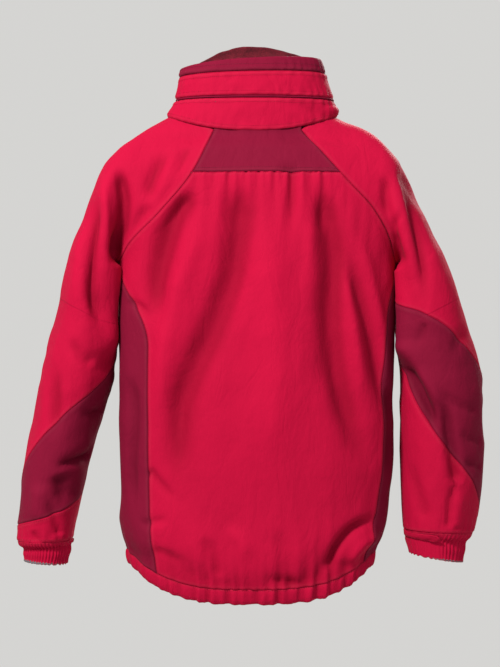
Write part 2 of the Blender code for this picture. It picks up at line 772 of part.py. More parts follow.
def build_side_zip():
    low, high = SIDE_ZIP_Z
    frame = torso_frame(SIDE_ZIP_ANGLE, low, high)
    length = (torso_point(SIDE_ZIP_ANGLE, high) - torso_point(SIDE_ZIP_ANGLE, low)).length
    frame = frame @ Matrix.Translation((0.0, -SIDE_ZIP_OUT, 0.0))
    zip_half("side_zip_front", -1.0, frame, length, 0.0105, MAROON)
    zip_half("side_zip_back", 1.0, frame, length, 0.0105, MAROON)
    home = frame @ Matrix.Translation((0.0, 0.0, SIDE_SLIDER_UP))
    slider = zip_slider("side_zip_slider", home)
    set_origin(slider, home.translation)
    hinge = home @ Matrix.Translation((0.0, -BAIL_OUT, BAIL_UP))
    ring = wire("side_zip_ring",
                [(-0.0016, 0, 0.0004), (0.0016, 0, 0.0004), (0.0040, 0, -0.0042), (0.0062, 0, -0.0088),
                 (0.0050, 0, -0.0104), (-0.0050, 0, -0.0104), (-0.0062, 0, -0.0088), (-0.0040, 0, -0.0042)],
                0.00075, hinge, True)
    set_origin(ring, hinge.translation)


LOCK_X = 0.104
LOCK_Z = -0.738
CORD_RADIUS = 0.0014


def build_toggle(side):
    x = SIGN[side] * LOCK_X
    angle = torso_angle(x, -0.70, True)
    top = torso_point(angle, hem_height(angle))
    y = top.y + 0.0018
    frame = Matrix.Translation((x, y, 0.0))
    knot_z = -0.7655
    cord = wire(f"{side}_hem_cord", [(0, 0, top.z - 0.0008), (0, 0, -0.735), (0, 0, knot_z + 0.002)],
                CORD_RADIUS, frame, False, BLACK, 0.8, 0.0)
    body = bmesh.new()
    bmesh.ops.create_uvsphere(body, u_segments=10, v_segments=6, radius=0.0032)
    bmesh.ops.translate(body, vec=(0.0, 0.0, knot_z), verts=body.verts)
    knot = finish_body(f"{side}_knot", body, frame, BLACK, 0.8, 0.0, CUTTERS)
    combine(cord, knot, "UNION")

    place = Matrix.Translation((x, y, LOCK_Z))
    if side == "right":
        place = place @ Matrix.Rotation(math.pi, 4, "Z")
    lock = rod(f"{side}_cord_lock", 0.0068, 0.0150, (-0.0005, 0, 0), "x", place, BLACK, 0.4, 0.0, 16)
    bore = rod(f"{side}_lock_bore", 0.0046, 0.0160, (0.0010, 0, 0), "x", place, sides=14, where=CUTTERS)
    hole = rod(f"{side}_lock_hole", 0.0022, 0.0200, (0, 0, 0), "z", place, sides=10, where=CUTTERS)
    combine(lock, bore, "DIFFERENCE")
    combine(lock, hole, "DIFFERENCE")
    set_origin(lock, place.translation)

    button = rod(f"{side}_cord_lock_button", 0.0041, 0.0140, (0.0040, 0, 0), "x", place, BLACK, 0.4,
                 0.0, 14)
    head = rod(f"{side}_button_head", 0.0054, 0.0024, (0.0122, 0, 0), "x", place, sides=14,
               where=CUTTERS)
    slot = box(f"{side}_button_slot", (0.0072, 0.0042, 0.0200), (0.0018, 0, 0), place, where=CUTTERS)
    combine(button, head, "UNION")
    combine(button, slot, "DIFFERENCE")
    set_origin(button, place.translation)


TAB_TURNS = {"left": (192.0, 284.0), "right": (176.0, 92.0)}


def build_cuff_tab(side):
    """Strap that closes the cuff: sewn at the first turn, free at the last."""
    cuff = CUFF_STATION[side]
    first, last = TAB_TURNS[side]
    low = cuff + (0.55 if side == "left" else 0.75)
    tab = sleeve_patch(f"{side}_cuff_tab", side, (first, last), lambda t: cuff + 0.05, lambda t: low,
                       6, 1, RED, thickness=0.0018, inset=-0.0024)
    top = sleeve_point(side, first, cuff + 0.05, -0.0024)
    set_origin(tab, top)


def build_hanger_loop():
    frame = Matrix.Translation((0.0095, 0.0200, -0.006))
    loop = wire("hanger_loop", [(-0.030, 0, 0), (-0.027, 0, -0.012), (-0.014, 0, -0.019),
                                (0.014, 0, -0.019), (0.027, 0, -0.012), (0.030, 0, 0)],
                0.0020, frame, False, BLACK, 0.8, 0.0)
    set_origin(loop, frame.translation)


clear_scene()
build_torso()
build_hem()
build_lining()
build_collar()
for SIDE in ("left", "right"):
    build_sleeve(SIDE)
build_closure()
for SIDE in ("left", "right"):
    build_pocket(SIDE)
    build_toggle(SIDE)
    build_cuff_tab(SIDE)
build_side_zip()
build_hanger_loop()
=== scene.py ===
import math

import bmesh
import bpy
import numpy as np
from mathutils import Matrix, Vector
from mathutils.kdtree import KDTree


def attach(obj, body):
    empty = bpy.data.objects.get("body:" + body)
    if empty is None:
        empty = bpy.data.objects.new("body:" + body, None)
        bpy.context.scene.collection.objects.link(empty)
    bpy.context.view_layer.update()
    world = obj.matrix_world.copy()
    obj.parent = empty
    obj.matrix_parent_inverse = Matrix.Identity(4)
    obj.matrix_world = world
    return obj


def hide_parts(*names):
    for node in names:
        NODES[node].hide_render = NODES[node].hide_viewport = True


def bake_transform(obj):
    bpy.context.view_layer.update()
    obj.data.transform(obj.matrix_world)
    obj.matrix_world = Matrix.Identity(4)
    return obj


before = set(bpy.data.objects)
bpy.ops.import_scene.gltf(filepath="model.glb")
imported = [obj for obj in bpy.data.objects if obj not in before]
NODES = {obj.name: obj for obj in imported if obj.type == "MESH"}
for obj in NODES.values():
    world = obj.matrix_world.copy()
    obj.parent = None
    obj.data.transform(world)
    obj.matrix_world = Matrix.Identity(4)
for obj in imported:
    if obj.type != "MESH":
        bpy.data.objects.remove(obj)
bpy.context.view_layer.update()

FINE = 0.0046       # spacing of the cloth's vertices

# ---------------------------------------------------------------- measures, as in the CAD
ZIP_Y, ZIP_SLOPE, ZIP_BOTTOM, TAPE_HALF = -0.082, 0.045, -0.690, 0.0165
TORSO = np.array([
    (-0.790, 0.188, -0.179, 0.095), (-0.700, 0.2090, -0.190, 0.100), (-0.530, 0.2240, -0.2205, 0.104),
    (-0.350, 0.2245, -0.2205, 0.100), (-0.232, 0.2250, -0.2215, 0.093), (-0.150, 0.2370, -0.2330, 0.086),
    (-0.100, 0.2340, -0.2300, 0.078), (-0.050, 0.2150, -0.2100, 0.062), (0.000, 0.1900, -0.1860, 0.044),
])
TORSO_SQUARE, UNDERARM = 2.4, -0.232
RAGLAN_END = -0.230           # height at which the raglan seams meet the side seams
HEM_BACK, HEM_SIDE, HEM_BAND = -0.766, -0.712, 0.024
SIDE_PANEL = {"left": (-40.0, 43.0), "right": (152.0, 235.0)}
RAGLAN_BACK = {
    "left": [(-0.230, 0.2230), (-0.200, 0.205), (-0.152, 0.157), (-0.088, 0.104), (-0.018, 0.070)],
    "right": [(-0.230, 0.2195), (-0.192, 0.209), (-0.144, 0.182), (-0.104, 0.145), (-0.018, 0.069)],
}
RAGLAN_FRONT = [(-0.230, 0.2200), (-0.205, 0.203), (-0.150, 0.158), (-0.095, 0.114), (-0.031, 0.074)]
YOKE_BOTTOM, NECK_BACK, NECK_FRONT = -0.087, -0.018, -0.031
COLLAR = np.array([
    (-0.0165, 0.008, -0.036, 0.0095, 0.1345, -0.0190, 0.0640),
    (0.0345, 0.0345, 0.0275, 0.0050, 0.1265, -0.0200, 0.0605),
    (0.0765, 0.0755, 0.0695, 0.0090, 0.1170, -0.0205, 0.0580),
    (0.097, 0.093, 0.086, 0.0110, 0.1130, -0.0210, 0.0568),
])
COLLAR_SQUARE = 2.3
SLEEVE = {
    "left": [
        (0.189, -0.022, 0.2320, -0.230, 0.060), (0.246, -0.070, 0.2320, -0.237, 0.066),
        (0.270, -0.128, 0.2310, -0.258, 0.071), (0.301, -0.216, 0.2310, -0.304, 0.075),
        (0.323, -0.304, 0.2310, -0.366, 0.076), (0.344, -0.387, 0.2370, -0.424, 0.076),
        (0.365, -0.496, 0.2610, -0.512, 0.072), (0.381, -0.592, 0.2830, -0.600, 0.067),
        (0.386, -0.674, 0.2980, -0.671, 0.058), (0.376, -0.688, 0.3020, -0.684, 0.047),
        (0.376, -0.707, 0.3060, -0.711, 0.046),
    ],
    "right": [
        (0.182, -0.022, 0.2290, -0.230, 0.060), (0.230, -0.070, 0.2290, -0.238, 0.066),
        (0.252, -0.118, 0.2290, -0.252, 0.070), (0.285, -0.192, 0.2290, -0.290, 0.074),
        (0.316, -0.270, 0.2285, -0.330, 0.076), (0.342, -0.345, 0.2285, -0.375, 0.076),
        (0.361, -0.432, 0.2285, -0.445, 0.073), (0.363, -0.530, 0.2300, -0.530, 0.068),
        (0.357, -0.605, 0.2320, -0.610, 0.062), (0.346, -0.660, 0.2360, -0.656, 0.056),
        (0.333, -0.680, 0.2380, -0.668, 0.046), (0.330, -0.709, 0.2430, -0.694, 0.045),
    ],
}
SIGN = {"left": 1.0, "right": -1.0}
CUFF_STATION = {"left": 9.0, "right": 10.0}
BODY_RADIUS, SLEEVE_RADIUS, COLLAR_RADIUS = 0.20, 0.062, 0.10     # means, to turn angles into lengths
CLOTH_THICK = 0.0014
ELBOW = {"left": -0.378, "right": -0.368}
ELBOW_UPPER = {"left": (-0.384, -0.470, -0.584), "right": (-0.285, -0.318, -0.414)}
ELBOW_LOWER = {"left": (-0.600, -0.632, -0.650), "right": (-0.374, -0.520, -0.629)}


# ---------------------------------------------------------------- numbers
def slopes_of(xs, ys):
    """Slopes of a smooth curve through the rows of ys that never overshoots them."""
    h = np.diff(xs).reshape((-1,) + (1,) * (ys.ndim - 1))
    d = np.diff(ys, axis=0) / h
    m = np.zeros_like(ys)
    m[0], m[-1] = d[0], d[-1]
    w1, w2 = 2 * h[1:] + h[:-1], h[1:] + 2 * h[:-1]
    same = d[:-1] * d[1:] > 1e-15
    safe0, safe1 = np.where(same, d[:-1], 1.0), np.where(same, d[1:], 1.0)
    m[1:-1] = np.where(same, (w1 + w2) / (w1 / safe0 + w2 / safe1), 0.0)
    return m


def hermite(y0, y1, m0, m1, h, t):
    t2, t3 = t * t, t * t * t
    return ((2 * t3 - 3 * t2 + 1) * y0 + (t3 - 2 * t2 + t) * h * m0
            + (3 * t2 - 2 * t3) * y1 + (t3 - t2) * h * m1)


def curve(rows, column, at):
    """Smooth value of a table's column; the first column rises."""
    rows = np.asarray(rows, float)
    xs, ys = rows[:, 0], rows[:, column]
    m = slopes_of(xs, ys)
    at = np.clip(np.asarray(at, float), xs[0], xs[-1])
    i = np.clip(np.searchsorted(xs, at, side="right") - 1, 0, len(xs) - 2)
    h = xs[i + 1] - xs[i]
    return hermite(ys[i], ys[i + 1], m[i], m[i + 1], h, (at - xs[i]) / h)


def power(value, exponent):
    return np.sign(value) * np.abs(value) ** exponent


def smooth(t):
    t = np.clip(t, 0.0, 1.0)
    return t * t * (3 - 2 * t)


def lattice(ix, iy, iz, seed):
    """A fixed number between -1 and 1 for each lattice point."""
    n = (ix * 73856093) ^ (iy * 19349663) ^ (iz * 83492791) ^ (seed * 2654435761)
    n = (n ^ (n >> 13)) * 1274126177 & 0xFFFFFFFF
    n = (n ^ (n >> 16)) & 0xFFFFFFFF
    return n / 2147483647.5 - 1.0


def noise(points, size, seed):
    """Smooth noise of a given grain; size is one length or three."""
    p = np.asarray(points, float) / np.asarray(size, float) + 100.0
    base = np.floor(p).astype(np.int64)
    f = p - base
    f = f * f * f * (f * (f * 6 - 15) + 10)
    total = 0.0
    for dx in (0, 1):
        for dy in (0, 1):
            for dz in (0, 1):
                w = ((f[..., 0] if dx else 1 - f[..., 0]) * (f[..., 1] if dy else 1 - f[..., 1])
                     * (f[..., 2] if dz else 1 - f[..., 2]))
                total = total + w * lattice(base[..., 0] + dx, base[..., 1] + dy, base[..., 2] + dz, seed)
    return total


def ripple(along, length, seed):
    """Uneven waves along a line, such as the puckers beside a seam."""
    line = np.stack([along, along * 0, along * 0], axis=-1)
    shift = 0.55 * noise(line, length * 2.2, seed)
    size = 0.62 + 0.38 * noise(line, length * 3.1, seed + 7)
    return np.sin(2 * math.pi * (along / length + shift)) * size


# ---------------------------------------------------------------- surfaces
def zip_depth(z):
    return ZIP_Y + ZIP_SLOPE * z


def torso(angle, z, inset=0.0):
    """The torso's outside: 0 degrees is the wearer's left, 90 the back, 270 the front."""
    angle, z = np.broadcast_arrays(np.asarray(angle, float), np.asarray(z, float))
    left, right = curve(TORSO, 1, z) - inset, curve(TORSO, 2, z) + inset
    c, s = np.cos(np.radians(angle)), np.sin(np.radians(angle))
    depth = np.where(s >= 0, curve(TORSO, 3, z), -zip_depth(z))
    x = (left + right) / 2 + (left - right) / 2 * power(c, 2 / TORSO_SQUARE)
    y = (depth - inset) * power(s, 2 / TORSO_SQUARE)
    # Below the collar the cloth draws in to the collar's seam
    _, _, _, middle, half, centre, reach = COLLAR[0]
    share = np.clip(np.abs(x - middle) / half, 0.0, 0.98) ** COLLAR_SQUARE
    half_sign = np.where(s >= 0, 1.0, -1.0)
    ring = centre + half_sign * (reach - 0.0008 - inset) * (1 - share) ** (1 / COLLAR_SQUARE)
    near = smooth((z + np.where(s >= 0, 0.048, 0.062)) / 0.030) * smooth((0.122 - np.abs(x)) / 0.02)
    return np.stack([x, y + (ring - y) * near, z], axis=-1)


def torso_angle(x, z, front=False):
    """Angle at which the torso has a place x, behind or in front."""
    left, right = curve(TORSO, 1, z), curve(TORSO, 2, z)
    share = np.clip((x - (left + right) / 2) / ((left - right) / 2), -1.0, 1.0)
    angle = np.degrees(np.arccos(power(share, TORSO_SQUARE / 2)))
    return np.where(front, 360.0 - angle, angle)


def raglan_x(side, z, front):
    """How far out the raglan seam lies at a height."""
    back = curve(RAGLAN_BACK[side], 1, z)
    return SIGN[side] * np.where(front, curve(RAGLAN_FRONT, 1, z), back)


def seam_angle(side, front, z):
    """Angle of the seam beside a side panel, or of the raglan seam above the underarm."""
    z = np.asarray(z, float)
    opened = torso_angle(raglan_x(side, np.maximum(z, RAGLAN_END), front), z, front)
    first, last = SIDE_PANEL[side]
    limit = {("left", True): first + 360.0, ("left", False): last,
             ("right", True): last, ("right", False): first}[side, front]
    ease = np.sin(np.clip((UNDERARM - z) / 0.13, 0.0, 1.0) * math.pi / 2)
    return opened + (limit - opened) * ease


def hem_height(angle):
    """Height of the hem's lower edge: lowest at the back."""
    s, c = np.sin(np.radians(angle)), np.cos(np.radians(angle))
    back = HEM_BACK + (HEM_SIDE - HEM_BACK) * (np.abs(c) ** (2 / TORSO_SQUARE)) ** 3.4
    return np.where(s <= 0, HEM_SIDE + 0.012 * np.abs(s), back)


def collar(angle, level, inset=0.0, lift=0.0):
    """The collar's outside; whole levels are the rows of COLLAR."""
    angle, level = np.broadcast_arrays(np.asarray(angle, float), np.asarray(level, float))
    low = np.clip(np.floor(level).astype(int), 0, len(COLLAR) - 2)
    share = (level - low)[..., None]
    row = COLLAR[low] * (1 - share) + COLLAR[low + 1] * share
    c, s = np.cos(np.radians(angle)), np.sin(np.radians(angle))
    end = np.where(s >= 0, row[..., 0], row[..., 2])
    z = row[..., 1] + (end - row[..., 1]) * s * s + lift
    tilt = -0.0075 * c * smooth((level - 1.3) / 1.7)
    x = row[..., 3] + (row[..., 4] - inset) * power(c, 2 / COLLAR_SQUARE)
    return np.stack([x, row[..., 5] + (row[..., 6] - inset) * power(s, 2 / COLLAR_SQUARE), z + tilt], axis=-1)


def collar_edges(level, half_gap, inset=0.0):
    """Angles, from the wearer's left round the back to the right, at which the collar ends."""
    found = []
    for side in ("left", "right"):
        low = 180.0 if side == "right" else 270.0
        high = low + 90.0
        for _ in range(30):
            middle = (low + high) / 2
            if collar(middle, level, inset)[0] < SIGN[side] * half_gap:
                low = middle
            else:
                high = middle
        found.append((low + high) / 2)
    return found[0] - 360.0, found[1]


def raglan_loop(side, turn):
    """The seam where a sleeve meets the body; 0 is the neck, 180 the underarm."""
    turn = np.asarray(turn, float)
    front = turn > 180.0
    t = np.where(front, 360.0 - turn, turn)
    top = np.where(front, NECK_FRONT, NECK_BACK)
    away = (66.0 if side == "left" else 57.0) * np.clip(t / 30.0, 0, 1)
    angle = away if side == "left" else 180.0 - away
    neck = collar(np.where(front, 360.0 - angle, angle), 0.0, 0.0035)
    neck[..., 2] += 0.002
    end = torso(torso_angle(raglan_x(side, top, front), top, front), top)
    near = neck + (end - neck) * (np.clip(t / 30.0, 0, 1) ** 4)[..., None]
    z = top + (RAGLAN_END - top) * np.clip((t - 30.0) / 142.0, 0, 1)
    far = torso(torso_angle(raglan_x(side, z, front), z, front), z)
    back, fore = float(seam_angle(side, False, RAGLAN_END)), float(seam_angle(side, True, RAGLAN_END))
    if side == "left":
        fore = fore - 360.0
    share = np.clip((t - 172.0) / 8.0, 0, 1)
    middle = (back + fore) / 2
    under = torso(np.where(front, fore, back) * (1 - share) + middle * share, np.full(t.shape, RAGLAN_END))
    return np.where((t < 30.0)[..., None], near, np.where((t < 172.0)[..., None], far, under))


def sleeve(side, turn, station):
    """A sleeve's outside; turn 0 is the outer edge, 90 the back, 180 the inner edge."""
    turn, station = np.broadcast_arrays(np.asarray(turn, float), np.asarray(station, float))
    c, s = np.cos(np.radians(turn)), np.sin(np.radians(turn))
    stack = [raglan_loop(side, turn)]
    for ox, oz, ix, iz, depth in SLEEVE[side]:
        x = SIGN[side] * ((ox + ix) / 2 + (ox - ix) / 2 * c)
        stack.append(np.stack([x, depth * s, (oz + iz) / 2 + (oz - iz) / 2 * c], axis=-1))
    stack = np.stack(stack)
    m = slopes_of(np.arange(len(stack), dtype=float), stack)
    i = np.clip(np.floor(station).astype(int), 0, len(stack) - 2)
    t = (station - i)[..., None]

    def pick(a, k):
        return np.take_along_axis(a, np.broadcast_to(k[None, ..., None], (1,) + k.shape + (3,)), axis=0)[0]
    return hermite(pick(stack, i), pick(stack, i + 1), pick(m, i), pick(m, i + 1), 1.0, t)


def station_at(side, turn, z):
    """Station at which a sleeve passes a height."""
    turn = np.asarray(turn, float)
    low, high = np.ones(turn.shape), np.full(turn.shape, float(len(SLEEVE[side])))
    for _ in range(30):
        middle = (low + high) / 2
        above = sleeve(side, turn, middle)[..., 2] > z
        low, high = np.where(above, middle, low), np.where(above, high, middle)
    return (low + high) / 2


def length_along(line):
    """Length of a line up to each of its points."""
    return np.concatenate([[0], np.cumsum(np.linalg.norm(np.diff(line, axis=0), axis=1))])


def grid_lengths(p, axis):
    """Length along a grid's columns (axis 0) or rows (axis 1) up to each of its points."""
    start = np.zeros((p.shape[0], 1)) if axis else np.zeros((1, p.shape[1]))
    return np.concatenate([start, np.cumsum(np.linalg.norm(np.diff(p, axis=axis), axis=2), axis)], axis)


def grid_normals(p, wrap=False):
    q = np.concatenate([p[:, -1:], p, p[:, :1]], axis=1) if wrap else p
    n = np.cross(np.gradient(q, axis=1), np.gradient(q, axis=0))
    n = n[:, 1:-1] if wrap else n
    return n / np.maximum(np.linalg.norm(n, axis=-1, keepdims=True), 1e-12)


def outward(p, wrap=False, out=None):
    """Unit normals of a grid that point away from the body's middle, or along out."""
    n = grid_normals(p, wrap)
    if out is None:
        away = p - p.reshape(-1, 3).mean(0)
        away[..., 2] = 0.0
    else:
        away = np.broadcast_to(np.asarray(out, float), p.shape)
    return n if (n * away).sum() > 0 else -n


def spread(length, ends=(True, True), step=None, near=(0.0010, 0.0022, 0.0042)):
    """Shares from 0 to 1 in even steps, with closer ones beside the ends that are sewn."""
    step = step or FINE
    base = np.linspace(0, 1, max(3, int(round(length / step))) + 1)
    extra = []
    keep = np.ones(len(base), bool)
    for index, sewn in enumerate(ends):
        if sewn:
            extra += [(d / length if index == 0 else 1 - d / length) for d in near]
            edge = 0.0 if index == 0 else 1.0
            gap = np.abs(base - edge)
            keep &= (gap < 1e-9) | (gap > (near[-1] + 0.4 * step) / length)
    return np.sort(np.concatenate([base[keep], extra]))


# ---------------------------------------------------------------- folds
def dense(points):
    """A smooth line through a few drawn points."""
    p = np.asarray(points, float)
    t = np.arange(len(p), dtype=float)
    at = np.linspace(0, len(p) - 1, max(4, (len(p) - 1) * 3 + 1))
    return np.stack([curve(np.stack([t, p[:, k]], axis=1), 1, at) for k in (0, 1)], axis=1)


def fold_height(table, a, b, shift=0.0):
    """Height of drawn folds at places (a, b): each is (points, half-width, height, taper, sharp).

    A fold is drawn where its shaded flank lies; shift moves its middle off that line, in half-widths.
    """
    total = np.zeros(np.shape(a))
    for points, width, height, taper, sharp in table:
        line = dense(points)
        reach = width * (3.2 if sharp else 2.6)
        near = ((a > line[:, 0].min() - reach) & (a < line[:, 0].max() + reach)
                & (b > line[:, 1].min() - reach) & (b < line[:, 1].max() + reach))
        if not near.any():
            continue
        x, z = a[near] + shift * width, b[near]
        best, share = np.full(x.shape, 1e9), np.zeros(x.shape)
        step = np.diff(line, axis=0)
        long = np.linalg.norm(step, axis=1)
        run = np.concatenate([[0], np.cumsum(long)])
        for k in range(len(step)):
            t = ((x - line[k, 0]) * step[k, 0] + (z - line[k, 1]) * step[k, 1]) / max(long[k] ** 2, 1e-12)
            t = np.clip(t, 0, 1)
            d = np.hypot(x - line[k, 0] - t * step[k, 0], z - line[k, 1] - t * step[k, 1])
            nearer = d < best
            best = np.where(nearer, d, best)
            share = np.where(nearer, (run[k] + t * long[k]) / run[-1], share)
        start, end = taper
        ends = smooth(share / start if start else 1.0) * smooth((1 - share) / end if end else 1.0)
        cross = np.exp(-np.abs(best / width) ** 1.25) if sharp else np.exp(-(best / width) ** 2)
        total[near] += height * cross * ends
    return total


S, B = True, False        # a sharp crease, or a broad soft fold
TORSO_BACK = [
    ([(0.118, -0.109), (0.146, -0.165), (0.163, -0.218), (0.171, -0.262), (0.168, -0.317), (0.163, -0.36)],
     0.019, -0.0085, (.12, .45), B),
    ([(0.093, -0.136), (0.123, -0.227), (0.15, -0.317), (0.162, -0.4), (0.157, -0.482), (0.147, -0.528)],
     0.018, 0.0040, (.3, .4), B),
    ([(0.048, -0.096), (0.043, -0.157), (0.051, -0.24), (0.07, -0.294), (0.093, -0.35), (0.12, -0.406),
      (0.139, -0.462), (0.141, -0.512), (0.138, -0.576), (0.131, -0.624)], 0.023, -0.0090, (.12, .35), B),
    ([(0.013, -0.112), (0.005, -0.208), (-0.006, -0.32), (-0.011, -0.416), (0.0, -0.528), (0.029, -0.608)],
     0.034, 0.0050, (.3, .35), B),
    ([(-0.045, -0.088), (-0.048, -0.144), (-0.045, -0.2)], 0.011, -0.0034, (.0, .7), B),
    ([(-0.07, -0.100), (-0.074, -0.224), (-0.067, -0.336)], 0.015, 0.0030, (.2, .5), B),
    ([(-0.077, -0.093), (-0.096, -0.163), (-0.106, -0.24), (-0.101, -0.304), (-0.107, -0.379),
      (-0.126, -0.462), (-0.15, -0.528), (-0.182, -0.57)], 0.020, -0.0088, (.15, .3), B),
    ([(-0.123, -0.198), (-0.136, -0.288), (-0.147, -0.368), (-0.166, -0.48)], 0.012, 0.0036, (.3, .4), B),
    ([(-0.131, -0.2), (-0.15, -0.272), (-0.17, -0.344), (-0.182, -0.406), (-0.192, -0.48)],
     0.012, -0.0055, (.3, .3), B),
    ([(-0.147, -0.168), (-0.171, -0.256), (-0.19, -0.352), (-0.2, -0.448)], 0.010, 0.0034, (.3, .3), B),
    ([(-0.186, -0.63), (-0.142, -0.648), (-0.115, -0.68), (-0.099, -0.717)], 0.0085, -0.0070, (.3, .2), B),
    ([(-0.19, -0.656), (-0.154, -0.675), (-0.133, -0.707)], 0.011, 0.0050, (.3, .2), B),
    ([(-0.07, -0.739), (-0.038, -0.728), (0.0, -0.723)], 0.008, -0.0038, (.3, .4), B),
    ([(0.178, -0.555), (0.154, -0.581), (0.133, -0.608)], 0.007, -0.0026, (.1, .5), B),
    ([(0.186, -0.643), (0.16, -0.635), (0.138, -0.632)], 0.007, -0.0022, (.1, .5), B),
    ([(0.173, -0.68), (0.141, -0.691), (0.109, -0.707)], 0.008, -0.0026, (.2, .5), B),
    ([(0.21, -0.29), (0.19, -0.30), (0.172, -0.322)], 0.007, -0.0024, (.1, .5), B),
    ([(0.060, -0.640), (0.030, -0.668), (0.020, -0.700)], 0.010, 0.0026, (.4, .4), B),
    ([(0.095, -0.655), (0.075, -0.690), (0.068, -0.725)], 0.010, -0.0030, (.4, .2), B),
    ([(-0.02, -0.640), (-0.035, -0.690), (-0.03, -0.730)], 0.012, -0.0026, (.4, .2), B),
    ([(0.205, -0.40), (0.200, -0.47), (0.206, -0.55), (0.200, -0.63)], 0.009, -0.0040, (.2, .3), B),
    ([(-0.205, -0.42), (-0.208, -0.50), (-0.200, -0.58)], 0.008, -0.0036, (.2, .3), B),
]
TORSO_FRONT = [
    ([(0.150, -0.130), (0.135, -0.220), (0.128, -0.330), (0.135, -0.440)], 0.018, -0.0070, (.2, .4), B),
    ([(0.100, -0.100), (0.090, -0.220), (0.094, -0.340), (0.090, -0.460)], 0.020, 0.0036, (.3, .4), B),
    ([(0.195, -0.215), (0.165, -0.290), (0.160, -0.380), (0.170, -0.470)], 0.014, -0.0050, (.1, .4), B),
    ([(0.070, -0.120), (0.062, -0.240), (0.064, -0.360)], 0.010, -0.0026, (.3, .5), B),
    ([(-0.155, -0.140), (-0.138, -0.230), (-0.128, -0.350), (-0.120, -0.450)], 0.018, -0.0072, (.2, .4), B),
    ([(-0.110, -0.110), (-0.096, -0.220), (-0.090, -0.350)], 0.019, 0.0034, (.3, .4), B),
    ([(-0.196, -0.220), (-0.174, -0.300), (-0.170, -0.400)], 0.013, -0.0046, (.1, .4), B),
    ([(-0.064, -0.150), (-0.060, -0.260), (-0.064, -0.400)], 0.010, -0.0024, (.3, .5), B),
    ([(0.190, -0.690), (0.150, -0.672), (0.100, -0.676)], 0.008, -0.0030, (.3, .4), B),
    ([(-0.180, -0.690), (-0.140, -0.670), (-0.090, -0.674)], 0.008, -0.0030, (.3, .4), B),
]
